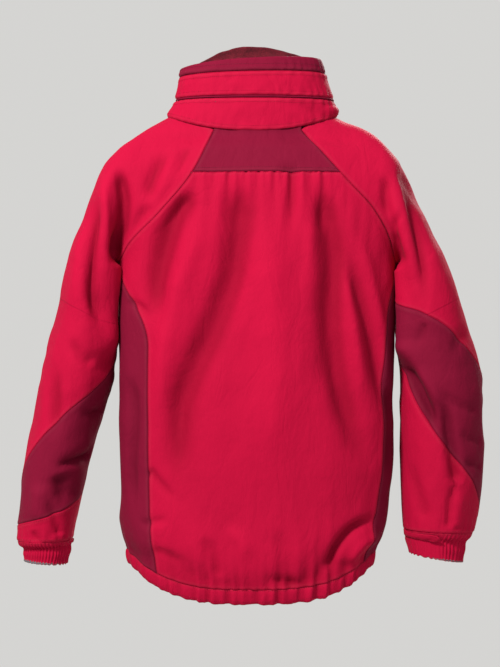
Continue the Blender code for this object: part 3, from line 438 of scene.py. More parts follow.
SLEEVE_BACK = {
    "left": [
        ([(0.229, -0.077), (0.219, -0.112), (0.216, -0.136), (0.219, -0.168), (0.229, -0.205),
          (0.232, -0.227)], 0.0095, -0.0095, (.2, .1), B),
        ([(0.246, -0.083), (0.245, -0.128), (0.246, -0.192), (0.246, -0.24), (0.237, -0.294)],
         0.0085, 0.0042, (.25, .3), B),
        ([(0.256, -0.12), (0.262, -0.152), (0.266, -0.198), (0.266, -0.267), (0.256, -0.309),
          (0.242, -0.347)], 0.0115, -0.0085, (.25, .3), B),
        ([(0.285, -0.152), (0.294, -0.24), (0.301, -0.32)], 0.020, 0.0030, (.3, .4), B),
        ([(0.322, -0.387), (0.326, -0.434), (0.325, -0.472), (0.333, -0.512)], 0.011, -0.0048, (.4, .4), B),
        ([(0.146, -0.051), (0.162, -0.08), (0.173, -0.106), (0.178, -0.138)], 0.008, -0.0052, (.3, .3), B),
        ([(0.133, -0.064), (0.152, -0.104), (0.16, -0.136)], 0.009, 0.0028, (.3, .3), B),
        ([(0.109, -0.045), (0.125, -0.072), (0.134, -0.096)], 0.005, -0.0030, (.2, .3), B),
        ([(0.173, -0.136), (0.192, -0.168), (0.208, -0.192)], 0.008, -0.0036, (.3, .3), B),
        ([(0.197, -0.179), (0.224, -0.218)], 0.007, -0.0040, (.3, .1), S),
        ([(0.229, -0.461), (0.262, -0.469), (0.29, -0.462)], 0.006, -0.0042, (.1, .6), S),
        ([(0.252, -0.531), (0.270, -0.538), (0.293, -0.544), (0.326, -0.55)], 0.0065, -0.0068, (.05, .4), S),
        ([(0.32, -0.56), (0.314, -0.592), (0.298, -0.608)], 0.015, -0.0060, (.3, .4), B),
        ([(0.349, -0.576), (0.355, -0.616), (0.355, -0.643)], 0.013, 0.0032, (.3, .3), B),
        ([(0.300, -0.345), (0.285, -0.375), (0.262, -0.392)], 0.009, -0.0032, (.4, .2), B),
        ([(0.335, -0.600), (0.322, -0.640), (0.318, -0.662)], 0.007, -0.0030, (.4, .1), B),
        ([(0.360, -0.650), (0.352, -0.672), (0.340, -0.682)], 0.006, -0.0026, (.3, .1), B),
    ],
    "right": [
        ([(-0.224, -0.064), (-0.24, -0.12), (-0.248, -0.168), (-0.254, -0.222), (-0.259, -0.272),
          (-0.272, -0.307)], 0.0115, -0.0085, (.15, .35), B),
        ([(-0.202, -0.093), (-0.2, -0.128), (-0.203, -0.163)], 0.0060, -0.0055, (.2, .3), B),
        ([(-0.211, -0.112), (-0.224, -0.168), (-0.238, -0.216), (-0.245, -0.272)],
         0.0095, 0.0042, (.3, .4), B),
        ([(-0.214, -0.176), (-0.219, -0.208), (-0.224, -0.243)], 0.0065, -0.0090, (.3, .1), B),
        ([(-0.267, -0.184), (-0.299, -0.272), (-0.326, -0.352)], 0.017, 0.0032, (.3, .4), B),
        ([(-0.285, -0.435), (-0.293, -0.464), (-0.299, -0.501), (-0.307, -0.547), (-0.312, -0.576)],
         0.0100, -0.0088, (.35, .05), B),
        ([(-0.261, -0.325), (-0.253, -0.352), (-0.246, -0.371)], 0.0050, -0.0032, (.1, .5), B),
        ([(-0.278, -0.429), (-0.31, -0.451), (-0.352, -0.467)], 0.0062, -0.0040, (.3, .2), S),
        ([(-0.315, -0.501), (-0.356, -0.515)], 0.0055, -0.0032, (.3, .1), S),
        ([(-0.323, -0.544), (-0.356, -0.555)], 0.0052, -0.0036, (.3, .1), S),
        ([(-0.312, -0.576), (-0.302, -0.611), (-0.299, -0.650)], 0.0042, -0.0046, (.05, .1), S),
        ([(-0.322, -0.590), (-0.314, -0.620), (-0.312, -0.650)], 0.0080, 0.0022, (.3, .1), B),
        ([(-0.235, -0.403), (-0.259, -0.442), (-0.282, -0.48)], 0.0070, -0.0036, (.3, .3), B),
        ([(-0.237, -0.542), (-0.25, -0.592), (-0.266, -0.64)], 0.0080, -0.0026, (.3, .2), B),
        ([(-0.232, -0.150), (-0.218, -0.165), (-0.212, -0.185)], 0.0050, -0.0030, (.3, .3), B),
        ([(-0.330, -0.330), (-0.318, -0.352), (-0.300, -0.372)], 0.0100, -0.0026, (.3, .3), B),
        ([(-0.232, -0.392), (-0.245, -0.420), (-0.262, -0.458), (-0.283, -0.500)],
         0.0085, -0.0080, (.15, .3), B),
        ([(-0.236, -0.350), (-0.252, -0.392), (-0.270, -0.425), (-0.292, -0.460)],
         0.0090, 0.0045, (.15, .3), B),
    ],
}
SLEEVE_FRONT = [
    ([(0.238, -0.100), (0.232, -0.160), (0.236, -0.220)], 0.010, -0.0080, (.3, .2), B),
    ([(0.262, -0.120), (0.262, -0.200), (0.258, -0.280)], 0.010, 0.0036, (.3, .4), B),
    ([(0.285, -0.150), (0.284, -0.220), (0.272, -0.300)], 0.012, -0.0060, (.3, .4), B),
    ([(0.236, -0.352), (0.275, -0.372), (0.318, -0.366)], 0.0080, -0.0085, (.1, .3), S),
    ([(0.238, -0.392), (0.276, -0.404), (0.312, -0.398)], 0.0080, -0.0070, (.1, .4), S),
    ([(0.250, -0.330), (0.290, -0.336), (0.326, -0.318)], 0.0090, -0.0046, (.3, .4), B),
    ([(0.262, -0.440), (0.300, -0.452), (0.338, -0.436)], 0.0090, -0.0040, (.2, .4), B),
    ([(0.300, -0.480), (0.312, -0.560), (0.318, -0.640)], 0.012, -0.0036, (.3, .2), B),
    ([(0.345, -0.500), (0.348, -0.580), (0.346, -0.640)], 0.010, 0.0026, (.3, .2), B),
]


def crumple(p, amount, seed, grain=0.055, tall=1.7):
    """Small soft creases all over, as nylon keeps them."""
    size = np.array([grain, grain, grain * tall])
    a = noise(p, size, seed)
    b = noise(p, size * 0.43, seed + 11)
    ridge = 0.42 - np.abs(noise(p, size * 0.8, seed + 23))
    return amount * (0.55 * a + 0.22 * b + 0.55 * np.minimum(ridge, 0.34))


SIDE_ZIP_TURN = 14.0          # degrees that the vent's zip lies forward of the body's side
BACK_DEPTH, BACK_SHIFT = 1.9, 0.6      # how deep the drawn folds of the back are, and their shift
FRONT_DEPTH = 1.6                      # how deep those of the front are
HEM_SWELL, HEM_PULL, HEM_GATHER = 0.0040, 0.0030, 0.0023      # cloth over, at and gathered by the hem
SIDE_HOLLOW, ZIP_CHANNEL = 0.0035, 0.0034                     # how far the sides and the vent's zip sink
CRUMPLE = 0.0031                                              # size of the small creases all over
RAGLAN_FADE = 0.022                    # folds rise over this distance from the raglan seams


def hem_gather(around):
    """Gathers that the hem's elastic pulls into the cloth, along a length round the body."""
    return ripple(around, 0.030, 3) + 0.5 * ripple(around, 0.0165, 5)


def torso_height(p, n):
    """How far the hanging body's cloth stands off its plain shape."""
    x, z = p[..., 0], p[..., 2]
    back = smooth((n[..., 1] + 0.05) / 0.45)
    front = smooth((-n[..., 1] - 0.05) / 0.45)
    height = (BACK_DEPTH * fold_height(TORSO_BACK, x, z, BACK_SHIFT) * back
              + FRONT_DEPTH * fold_height(TORSO_FRONT, x, z) * front)
    angle = np.degrees(np.arctan2(p[..., 1], x))
    hem = hem_height(angle) + HEM_BAND
    above = np.maximum(z - hem, 0.0)
    around = np.radians(angle) * BODY_RADIUS
    height = height + HEM_SWELL * np.exp(-((above - 0.050) / 0.036) ** 2) * smooth(above / 0.03)
    height = height - HEM_PULL * np.exp(-(above / 0.012) ** 2)
    height = height + HEM_GATHER * hem_gather(around) * np.exp(-(above / 0.034) ** 1.3)
    side = 1 - back - front
    off_x, off_z = np.abs(np.abs(x) - 0.112), np.abs(z + 0.566)      # from a pocket's middle
    pocket = smooth((off_x - 0.070) / -0.014) * smooth((off_z - 0.112) / -0.02) * front
    from_zip = np.abs(np.mod(angle + 180.0 + SIDE_ZIP_TURN, 360.0) - 180.0)
    low_down = smooth((-0.525 - z) / 0.03)
    vent, channel = smooth((from_zip - 12.0) / -6.0) * low_down, smooth((from_zip - 3.9) / -1.5) * low_down
    closed = smooth((0.052 - np.abs(x)) / 0.012) * front
    flat = np.maximum(np.maximum(pocket, vent), closed)
    height = height * (1 - 0.92 * flat)
    height = height - SIDE_HOLLOW * side * smooth((-0.26 - z) / 0.1) * (0.5 + noise(p, (0.2, 0.2, 0.11), 41))
    height = height - ZIP_CHANNEL * channel
    return height + crumple(p, CRUMPLE, 61) * (1 - 0.8 * flat)


SLEEVE_FOLD = {"left": (1.8, 0.5), "right": (1.45, 0.15)}       # depth and shift of the folds behind
SLEEVE_FRONT_DEPTH = 1.5                                        # depth of the folds in front
CUFF_TOP = {"left": -0.676, "right": -0.662}
CUFF_GATHER, ELBOW_CREASE = 0.0018, 0.0026
LEAN_TOP = -0.220             # the sleeves lean on the body from this height down
LEAN = {"left": (-0.392, 0.0140), "right": (-0.402, 0.0150)}    # lowest height, and how far behind
LEAN_BEFORE = 0.0115                                            # how far in front


def sleeve_height(side, p, turn):
    """How far a hanging sleeve's cloth stands off its plain shape."""
    x, z = p[..., 0], p[..., 2]
    s = np.sin(np.radians(turn))
    back, front = smooth((s + 0.02) / 0.42), smooth((-s - 0.02) / 0.42)
    depth, shift = SLEEVE_FOLD[side]
    height = depth * fold_height(SLEEVE_BACK[side], x, z, shift) * back
    in_front = fold_height(SLEEVE_FRONT, np.abs(x) + (0.0 if side == "left" else 0.006), z)
    height = height + SLEEVE_FRONT_DEPTH * in_front * front
    above = np.maximum(z - CUFF_TOP[side], 0.0)
    around = np.radians(turn) * SLEEVE_RADIUS
    gather = ripple(around, 0.0150, 13 if side == "left" else 17)
    height = height + CUFF_GATHER * gather * np.exp(-(above / 0.020) ** 1.3)
    elbow = np.exp(-((z - ELBOW[side] + 0.02) / 0.075) ** 2)
    height = height + crumple(p, CRUMPLE, 71 if side == "left" else 83, 0.045)
    return height + ELBOW_CREASE * elbow * noise(p, (0.060, 0.060, 0.018), 91) * (1 - 0.5 * back)


def sleeve_lean(side, z, turn):
    """How far the sleeve's inner face swells out to rest against the body."""
    low, size = LEAN[side]
    lean = smooth((LEAN_TOP - z) / 0.018) * smooth((z - low) / 0.045)
    behind = size * np.exp(-((turn - 150.0) / 23.0) ** 2)
    before = LEAN_BEFORE * np.exp(-((turn - 212.0) / 22.0) ** 2)
    return lean * (behind + before)


# ---------------------------------------------------------------- meshes
SEAM_REACH, PAINTED_SHADING_SPAN = 0.012, 0.021      # distance that the seam mark covers, and height that the mark of painted fold shading covers: painted shade in hollows, painted highlight on crests


def fan(count, order):
    """Triangles between a ring of vertices and the one vertex that follows them."""
    ids, last = np.arange(count), np.full(count, count)
    return np.stack([ids, np.roll(ids, -order), last, last], axis=1)


class Cloth:
    """Gathers the faces of one piece: cloth of some thickness, threads and cords on it."""

    def __init__(self):
        self.verts, self.faces, self.slots, self.uvs, self.marks = [], [], [], [], []
        self.count = 0
        self.fixed = []

    def add(self, verts, faces, slot=0, uvs=None, mark=None):
        """Adds vertices (N, 3) and quads (M, 4); uvs is (M, 4, 2)."""
        faces = np.asarray(faces, np.int64)
        self.verts.append(np.asarray(verts, float))
        self.faces.append(faces + self.count)
        self.slots.append(np.broadcast_to(np.asarray(slot), (len(faces),)).astype(int))
        self.uvs.append(np.zeros((len(faces), 4, 2)) if uvs is None else uvs)
        self.marks.append(np.full((len(verts), 2), (1.0, 0.5)) if mark is None else mark)
        self.count += len(verts)

    def grid(self, p, wrap=False, thick=0.0016, out=None, slot=0, inner=1, mask=None, seams=None,
             height=None, normals=None):
        """Adds a grid as cloth: an outer and an inner face and the edges between them."""
        rows, cols = p.shape[:2]
        n = outward(p, wrap, out) if normals is None else normals
        q = np.concatenate([p, p[:, :1]], axis=1) if wrap else p
        u, v = grid_lengths(q, 1), grid_lengths(q, 0)
        cells = rows - 1, (cols if wrap else cols - 1)
        mask = np.ones(cells, bool) if mask is None else mask
        index = np.arange(rows * cols).reshape(rows, cols)
        r, c = np.nonzero(mask)
        c2 = (c + 1) % cols
        quads = np.stack([index[r, c], index[r, c2], index[r + 1, c2], index[r + 1, c]], axis=1)
        middle = len(r) // 2
        a, b, d = p[r[middle], c[middle]], p[r[middle], c2[middle]], p[r[middle] + 1, c[middle]]
        flip = np.dot(np.cross(b - a, d - a), n[r[middle], c[middle]]) < 0
        corners = ((r, c), (r, c + 1), (r + 1, c + 1), (r + 1, c))
        uv = np.stack([np.stack([u[at], v[at]], -1) for at in corners], 1)
        order, back = ([3, 2, 1, 0], [3, 0, 1, 2]) if flip else ([0, 1, 2, 3], [0, 3, 2, 1])
        total = rows * cols
        faces = [quads[:, order], (quads + total)[:, back]]
        uvs = [uv[:, order], uv[:, back]]
        slots = [np.full(len(r), slot), np.full(len(r), inner)]

        def rim(r1, c1, r2, c2_, cu):
            """Edge faces between vertex (r1, c1) and (r2, c2)."""
            e = np.stack([index[r1, c1 % cols], index[r2, c2_ % cols],
                          index[r2, c2_ % cols] + total, index[r1, c1 % cols] + total], axis=1)
            ue = np.stack([np.stack([u[r1, cu], v[r1, cu]], -1)] * 4, 1)
            faces.append(e if not flip else e[:, ::-1])
            uvs.append(ue)
            slots.append(np.full(len(e), slot))
        pad = np.zeros((cells[0] + 2, cells[1] + 2), bool)
        pad[1:-1, 1:-1] = mask
        if wrap:
            pad[1:-1, 0], pad[1:-1, -1] = mask[:, -1], mask[:, 0]
        for beside, (r1, c1), (r2, c2) in ((pad[:-2, 1:-1], (0, 1), (0, 0)), (pad[2:, 1:-1], (1, 0), (1, 1)),
                                           (pad[1:-1, :-2], (0, 0), (1, 0)), (pad[1:-1, 2:], (1, 1), (0, 1))):
            rr, cc = np.nonzero(pad[1:-1, 1:-1] & ~beside)
            rim(rr + r1, cc + c1, rr + r2, cc + c2, cc)
        seam = np.ones((rows, cols)) if seams is None else np.clip(seams / SEAM_REACH, 0, 1)
        # The cloth's height off its plain shape, kept as a mark for painted shading: painted shade in the
        # hollows, a painted highlight on the crests
        painted_fold_shading = np.full((rows, cols), 0.5) if height is None else np.clip(0.5 + height / PAINTED_SHADING_SPAN, 0, 1)
        mark = np.stack([seam, painted_fold_shading], -1).reshape(-1, 2)
        self.add(np.concatenate([p.reshape(-1, 3), (p - n * thick).reshape(-1, 3)]), np.concatenate(faces),
                 np.concatenate(slots), np.concatenate(uvs), np.concatenate([mark, mark]))
        return n

    def stitches(self, line, normal, pitch=0.0034, share=0.70, radius=0.00032, slot=2, phase=0.0):
        """A row of thread: short rounded bars on the cloth along a line of points."""
        run = length_along(line)
        if run[-1] < pitch * 2:
            return
        starts = np.arange(phase, run[-1] - pitch, pitch)

        def at(values, s):
            return np.stack([np.interp(s, run, values[:, k]) for k in range(3)], axis=-1)
        a, b = at(line, starts), at(line, starts + pitch * share)
        n = at(normal, starts + pitch * share / 2)
        n /= np.maximum(np.linalg.norm(n, axis=1, keepdims=True), 1e-9)
        d = b - a
        d /= np.maximum(np.linalg.norm(d, axis=1, keepdims=True), 1e-9)
        w = np.cross(d, n)
        m = (a + b) / 2 + n * radius * 0.9
        a, b = a - n * radius * 0.5, b - n * radius * 0.5
        verts = np.stack([a, m + w * radius, m + n * radius, m - w * radius, m - n * radius, b], axis=1)
        k = len(starts)
        base = np.arange(k)[:, None] * 6
        tri = []
        for i, j in ((1, 2), (2, 3), (3, 4), (4, 1)):
            tri.append(np.concatenate([base + 0, base + i, base + j, base + j], axis=1))
            tri.append(np.concatenate([base + 5, base + j, base + i, base + i], axis=1))
        self.add(verts.reshape(-1, 3), np.concatenate(tri), slot)

    def sew(self, p, normals, rows):
        """Rows of thread, each (side, distance inside that side), on a grid that was added."""
        for where, distance in rows:
            line, normal = edge_line(p, normals, where, distance)
            self.stitches(line, normal)

    def tube(self, points, radius, slot=2, sides=8, twist=0, cap=True, lumps=0.0):
        """A round cord along points; twist makes its strands."""
        p = np.asarray(points, float)
        t = np.gradient(p, axis=0)
        t /= np.linalg.norm(t, axis=1, keepdims=True)
        up = np.array([0.13, 0.99, 0.07])
        a = np.cross(t, up)
        a /= np.linalg.norm(a, axis=1, keepdims=True)
        b = np.cross(t, a)
        run = length_along(p)
        angle = np.linspace(0, 2 * math.pi, sides, endpoint=False)[None, :] + np.zeros((len(p), 1))
        r = np.broadcast_to(np.asarray(radius, float), (len(p),))[:, None] * np.ones((1, sides))
        if lumps:
            wound = run[:, None] * twist
            r = r * (1 + lumps * np.cos(3 * angle - wound) * np.cos(3 * angle + wound))
        across, over = (np.cos(angle) * r)[..., None], (np.sin(angle) * r)[..., None]
        ring = p[:, None] + a[:, None] * across + b[:, None] * over
        rows = len(p)
        index = np.arange(rows * sides).reshape(rows, sides)
        nxt = np.roll(index, -1, axis=1)
        quads = np.stack([index[:-1], index[1:], nxt[1:], nxt[:-1]], axis=-1).reshape(-1, 4)
        uv = np.zeros((len(quads), 4, 2))
        cell = np.arange(len(quads))
        rr, cc = cell // sides, cell % sides
        for k, (dr, dc) in enumerate(((0, 0), (1, 0), (1, 1), (0, 1))):
            uv[:, k, 0] = (cc + dc) / sides * 2 * math.pi * 0.0015
            uv[:, k, 1] = run[np.minimum(rr + dr, rows - 1)]
        self.add(ring.reshape(-1, 3), quads, slot, uv)
        if cap:
            for row, centre, order in ((0, p[0], 1), (rows - 1, p[-1], -1)):
                self.add(np.concatenate([ring[row], centre[None]]), fan(sides, order), slot)

    def build(self, name, materials):
        verts = np.concatenate(self.verts)
        faces = np.concatenate(self.faces)
        slots, uvs = np.concatenate(self.slots), np.concatenate(self.uvs)
        marks = np.concatenate(self.marks)
        used = np.zeros(len(verts), bool)
        used[faces] = True
        renumber = np.cumsum(used) - 1
        verts, marks, faces = verts[used], marks[used], renumber[faces]
        triangle = faces[:, 2] == faces[:, 3]
        sizes = np.where(triangle, 3, 4)
        mesh = bpy.data.meshes.new(name)
        mesh.vertices.add(len(verts))
        mesh.vertices.foreach_set("co", verts.astype(np.float32).ravel())
        mesh.loops.add(int(sizes.sum()))
        corner = np.ones(faces.shape, bool)
        corner[triangle, 3] = False
        mesh.loops.foreach_set("vertex_index", faces[corner].astype(np.int32))
        mesh.polygons.add(len(faces))
        mesh.polygons.foreach_set("loop_start", np.concatenate([[0], np.cumsum(sizes)[:-1]]).astype(np.int32))
        mesh.polygons.foreach_set("material_index", slots.astype(np.int32))
        mesh.update(calc_edges=True)
        layer = mesh.uv_layers.new(name="cloth")
        layer.data.foreach_set("uv", uvs[corner].astype(np.float32).ravel())
        # Marks on the vertices: distance to a seam, for painted shade in its groove and for wear; and the
        # cloth's height, for painted shade in fold hollows and a painted highlight on crests
        for key, column in (("seam", 0), ("painted_fold_shading", 1)):
            attribute = mesh.attributes.new(key, "FLOAT", "POINT")
            attribute.data.foreach_set("value", marks[:, column].astype(np.float32))
        mesh.polygons.foreach_set("use_smooth", np.ones(len(faces), bool))
        mesh.validate()
        if self.fixed:
            wanted = np.zeros((len(verts), 3), np.float32)
            for at, normal in self.fixed:
                if used[at]:
                    wanted[renumber[at]] = normal
            mesh.normals_split_custom_set_from_vertices(wanted.tolist())
        made = bpy.data.objects.new(name, mesh)
        bpy.context.scene.collection.objects.link(made)
        for item in materials:
            mesh.materials.append(item)
        return made


THREAD_LIFT = 0.0002          # how far thread stands off its cloth
STITCH_IN = 0.0022            # from an edge to the first row of thread beside it


def from_side(grid, side):
    """A grid turned so that its first row lies along the named side."""
    q = np.swapaxes(grid, 0, 1) if side in ("left", "right") else grid
    return q[::-1] if side in ("right", "bottom") else q


def row_inside(p, values, distance):
    """Values at a distance down each column of a grid of points, and the rows just before them."""
    run = grid_lengths(p, 0)
    found, rows = [], []
    for k in range(p.shape[1]):
        i = int(np.clip(np.searchsorted(run[:, k], distance) - 1, 0, len(run) - 2))
        t = (distance - run[i, k]) / max(run[i + 1, k] - run[i, k], 1e-9)
        found.append(values[i, k] * (1 - t) + values[i + 1, k] * t)
        rows.append(i)
    return np.array(found), rows


def edge_line(p, n, side, distance):
    """Points on a grid at a distance inside one of its edges, and the cloth's normals there."""
    q, m = from_side(p, side), from_side(n, side)
    line, rows = row_inside(q, q, distance)
    normal = m[rows, np.arange(q.shape[1])]
    return line + normal * THREAD_LIFT, normal


def edge_distances(p, sides):
    """Distance from each vertex of a grid to the nearest of its sewn sides."""
    u, v = grid_lengths(p, 1), grid_lengths(p, 0)
    found = np.full(p.shape[:2], 1.0)
    for side in sides:
        d = {"left": u, "right": u[:, -1:] - u, "top": v, "bottom": v[-1:] - v}[side]
        found = np.minimum(found, d)
    return found


WELT = 0.0004                 # height of the turned-in cloth beside a seam


def groove(distance, depth=0.0008, width=0.0012):
    """Cloth beside a seam rolls down into it, with a low welt of turned-in cloth beside it."""
    welt = WELT * smooth(distance / 0.002) * (1 - smooth((distance - 0.0065) / 0.0015))
    return welt - depth * np.exp(-(distance / width) ** 2)


# ---------------------------------------------------------------- materials
class Look:
    """A node material: the shader's own sockets hold what is even, nodes make what varies."""

    def __init__(self, name, rough=0.6, metal=0.0, sheen=0.0, sheen_rough=0.5, specular=0.5):
        self.material = bpy.data.materials.new(name)
        self.material.use_nodes = True
        self.tree = self.material.node_tree
        self.shader = self.tree.nodes["Principled BSDF"]
        values = {"Roughness": rough, "Metallic": metal, "Sheen Weight": sheen,
                  "Sheen Roughness": sheen_rough, "Specular IOR Level": specular}
        for key, value in values.items():
            self.shader.inputs[key].default_value = value

    def node(self, kind, values=None, **settings):
        made = self.tree.nodes.new(kind)
        for key, value in settings.items():
            setattr(made, key, value)
        for key, value in (values or {}).items():
            if isinstance(value, bpy.types.NodeSocket):
                self.tree.links.new(value, made.inputs[key])
            else:
                made.inputs[key].default_value = value
        return made

    def math(self, operation, a, b=0.0, clamp=False):
        return self.node("ShaderNodeMath", {0: a, 1: b}, operation=operation, use_clamp=clamp).outputs[0]

    def mark(self, name):
        return self.node("ShaderNodeAttribute", attribute_name=name).outputs["Fac"]

    def uv(self, scale):
        uv = self.node("ShaderNodeUVMap", uv_map="cloth").outputs["UV"]
        return self.node("ShaderNodeMapping", {"Vector": uv, "Scale": scale}).outputs["Vector"]

    def place(self, scale=(1.0, 1.0, 1.0)):
        where = self.node("ShaderNodeTexCoord").outputs["Object"]
        return self.node("ShaderNodeMapping", {"Vector": where, "Scale": scale}).outputs["Vector"]

    def noise(self, vector, scale, detail=2.0, rough=0.5):
        return self.node("ShaderNodeTexNoise", {"Vector": vector, "Scale": scale, "Detail": detail,
                                                "Roughness": rough}).outputs["Fac"]

    def wave(self, vector, direction):
        """Threads side by side, one wave for each unit of the vector."""
        axis = self.node("ShaderNodeSeparateXYZ", {"Vector": vector}).outputs[direction]
        turn = self.math("MULTIPLY", axis, 2 * math.pi)
        return self.math("ABSOLUTE", self.math("SINE", turn))

    def ramp(self, factor, stops):
        made = self.node("ShaderNodeValToRGB", {"Fac": factor})
        band = made.color_ramp
        while len(band.elements) < len(stops):
            band.elements.new(0.5)
        for element, (position, colour) in zip(band.elements, stops):
            element.position, element.color = position, (*colour, 1.0)
        return made.outputs["Color"]

    def mix(self, share, one, other, blend="MIX"):
        return self.node("ShaderNodeMix", {0: share, 6: one, 7: other}, data_type="RGBA",
                         blend_type=blend).outputs[2]

    def colour(self, socket):
        self.tree.links.new(socket, self.shader.inputs["Base Color"])

    def rough(self, socket):
        self.tree.links.new(socket, self.shader.inputs["Roughness"])

    def bump(self, *layers):
        """Layers of (height socket, distance, strength), one on top of the other."""
        normal = None
        for height, distance, strength in layers:
            values = {"Height": height, "Distance": distance, "Strength": strength}
            if normal is not None:
                values["Normal"] = normal
            normal = self.node("ShaderNodeBump", values).outputs["Normal"]
        self.tree.links.new(normal, self.shader.inputs["Normal"])


def scaled(colour, by):
    return tuple(min(1.0, c * by) for c in colour)


CRINKLE = 0.0012              # depth of the small creases in the nylon's look


def woven(name, colour, deep, pitch=0.00085, rough=0.72, sheen=0.008):
    """Plain-woven nylon: crossed threads, faint slubs, soft creases, paler where seams rub; with painted
    shade in the folds' hollows and the seams' grooves, and a painted highlight on the folds' crests.
    """
    look = Look(name, rough, sheen=sheen, sheen_rough=0.38, specular=0.03)
    cloth = look.uv((1 / pitch, 1 / pitch, 1.0))
    warp, weft = look.wave(cloth, "X"), look.wave(cloth, "Y")
    threads = look.math("MAXIMUM", warp, look.math("MULTIPLY", weft, 0.86))
    wide = look.noise(look.place((1.0, 1.0, 0.6)), 7.0, 3.0, 0.55)
    slub = look.noise(look.uv((900.0, 60.0, 1.0)), 1.0, 2.0)
    slub_across = look.noise(look.uv((60.0, 900.0, 1.0)), 1.0, 2.0)
    seam, painted_fold_shading = look.mark("seam"), look.mark("painted_fold_shading")
    tone = look.math("MULTIPLY", wide, 0.16)
    # Painted shade and highlight: the height mark colours the cloth darker in its folds' hollows and lighter
    # on their crests
    tone = look.math("ADD", tone, look.math("MULTIPLY", painted_fold_shading, 0.60))
    tone = look.math("ADD", tone, look.math("MULTIPLY", look.math("ADD", slub, slub_across), 0.09))
    tone = look.math("ADD", tone, look.math("MULTIPLY", threads, 0.10))
    # deep is painted shade for the hollows, the top stop a painted highlight on the crests; broad noise,
    # slubs and threads vary the tone at random
    base = look.ramp(tone, [(0.16, deep), (0.50, colour), (0.82, scaled(colour, 1.10))])
    # Painted shade: the cloth is coloured darker in the groove beside each seam
    groove_painted_shade = look.ramp(seam, [(0.0, (0.74, 0.74, 0.75)), (0.09, (0.92, 0.92, 0.92)),
                                   (0.20, (1.0, 1.0, 1.0))])
    sewn = look.mix(1.0, base, groove_painted_shade, "MULTIPLY")
    rub = look.math("MULTIPLY", look.noise(look.place(), 90.0, 3.0, 0.7),
                    look.ramp(seam, [(0.10, (0, 0, 0)), (0.30, (1, 1, 1)), (0.62, (0, 0, 0))]))
    pale = (*(c * 0.85 + 0.05 for c in colour), 1.0)
    look.colour(look.mix(look.math("MULTIPLY", rub, 0.12), sewn, pale))
    look.rough(look.math("ADD", look.math("MULTIPLY", wide, 0.16), rough - 0.08))
    crease = look.noise(look.place((1.0, 1.0, 0.6)), 42.0, 3.0, 0.55)
    values = {"Vector": look.place((1.0, 1.0, 0.45)), "Scale": 26.0, "Detail": 3.0, "Roughness": 0.55,
              "Distortion": 0.6}
    fold = look.node("ShaderNodeTexNoise", values).outputs["Fac"]
    ridge = look.math("ABSOLUTE", look.math("SUBTRACT", fold, 0.5))
    ridge = look.math("MINIMUM", look.math("MULTIPLY", ridge, 9.0), 1.0)
    look.bump((crease, CRINKLE * 1.8, 0.8), (ridge, CRINKLE * 0.45, 0.7), (threads, pitch * 0.16, 0.55))
    return look.material


def fleece(name, colour, deep):
    """Fleece: tufts in clumps."""
    look = Look(name, 0.95, sheen=0.10, sheen_rough=0.55, specular=0.10)
    tuft = look.noise(look.place(), 420.0, 4.0, 0.7)
    clump = look.noise(look.place(), 95.0, 3.0, 0.6)
    tone = look.math("ADD", look.math("MULTIPLY", tuft, 0.6), look.math("MULTIPLY", clump, 0.4))
    look.colour(look.ramp(tone, [(0.32, deep), (0.62, colour)]))
    look.bump((clump, 0.0022, 0.8), (tuft, 0.0012, 0.9))
    return look.material


def thread(name, colour):
    """Sewing thread with its twist."""
    look = Look(name, 0.6, sheen=0.03, specular=0.12)
    twist = look.noise(look.place(), 1500.0, 1.0)
    look.colour(look.ramp(twist, [(0.3, scaled(colour, 0.7)), (0.7, colour)]))
    look.bump((twist, 0.0002, 0.6))
    return look.material


def tape(name, colour):
    """Zip tape: close ribs along it."""
    look = Look(name, 0.72, sheen=0.15, specular=0.3)
    cloth = look.uv((1 / 0.0007, 1 / 0.0011, 1.0))
    ribs = look.math("ADD", look.wave(cloth, "X"), look.math("MULTIPLY", look.wave(cloth, "Y"), 0.5))
    fade = look.noise(look.place(), 30.0, 3.0)
    tone = look.math("ADD", look.math("MULTIPLY", ribs, 0.3), look.math("MULTIPLY", fade, 0.4))
    look.colour(look.ramp(tone, [(0.15, scaled(colour, 0.6)), (0.7, colour)]))
    look.bump((ribs, 0.0002, 0.7))
    return look.material


def braid(name, colour):
    """Braided cord: strands that cross both ways."""
    look = Look(name, 0.62, sheen=0.25, specular=0.35)
    cloth = look.uv((1 / 0.0016, 1 / 0.0024, 1.0))
    a = look.node("ShaderNodeSeparateXYZ", {"Vector": cloth})
    plus = look.math("ADD", a.outputs["X"], a.outputs["Y"])
    minus = look.math("SUBTRACT", a.outputs["X"], a.outputs["Y"])
    waves = [look.math("ABSOLUTE", look.math("SINE", look.math("MULTIPLY", way, math.pi)))
             for way in (plus, minus)]
    strands = look.math("MAXIMUM", *waves)
    look.colour(look.ramp(strands, [(0.3, scaled(colour, 0.4)), (0.9, colour)]))
    look.bump((strands, 0.0003, 0.9))
    return look.material


def metal(name, colour, rough):
    """Dull cast metal, brighter where it is worn."""
    look = Look(name, rough, metal=0.92, specular=0.5)
    brushed = look.noise(look.place((1.0, 1.0, 14.0)), 120.0, 3.0, 0.6)
    wear = look.noise(look.place(), 240.0, 4.0, 0.65)
    look.colour(look.ramp(wear, [(0.35, scaled(colour, 0.62)), (0.6, colour), (0.8, scaled(colour, 1.25))]))
    look.rough(look.math("ADD", look.math("MULTIPLY", wear, 0.35), rough - 0.14))
    look.bump((brushed, 0.00008, 0.5), (wear, 0.00006, 0.5))
    return look.material


def plastic(name, colour, rough=0.42):
    """Moulded plastic with a fine grain and scuffs."""
    look = Look(name, rough, specular=0.5)
    grain = look.noise(look.place(), 900.0, 3.0, 0.6)
    scuff = look.noise(look.place(), 130.0, 4.0, 0.6)
    look.colour(look.ramp(scuff, [(0.35, scaled(colour, 0.75)), (0.7, scaled(colour, 1.5))]))
    look.rough(look.math("ADD", look.math("MULTIPLY", scuff, 0.28), rough - 0.12))
    look.bump((grain, 0.00006, 0.6))
    return look.material


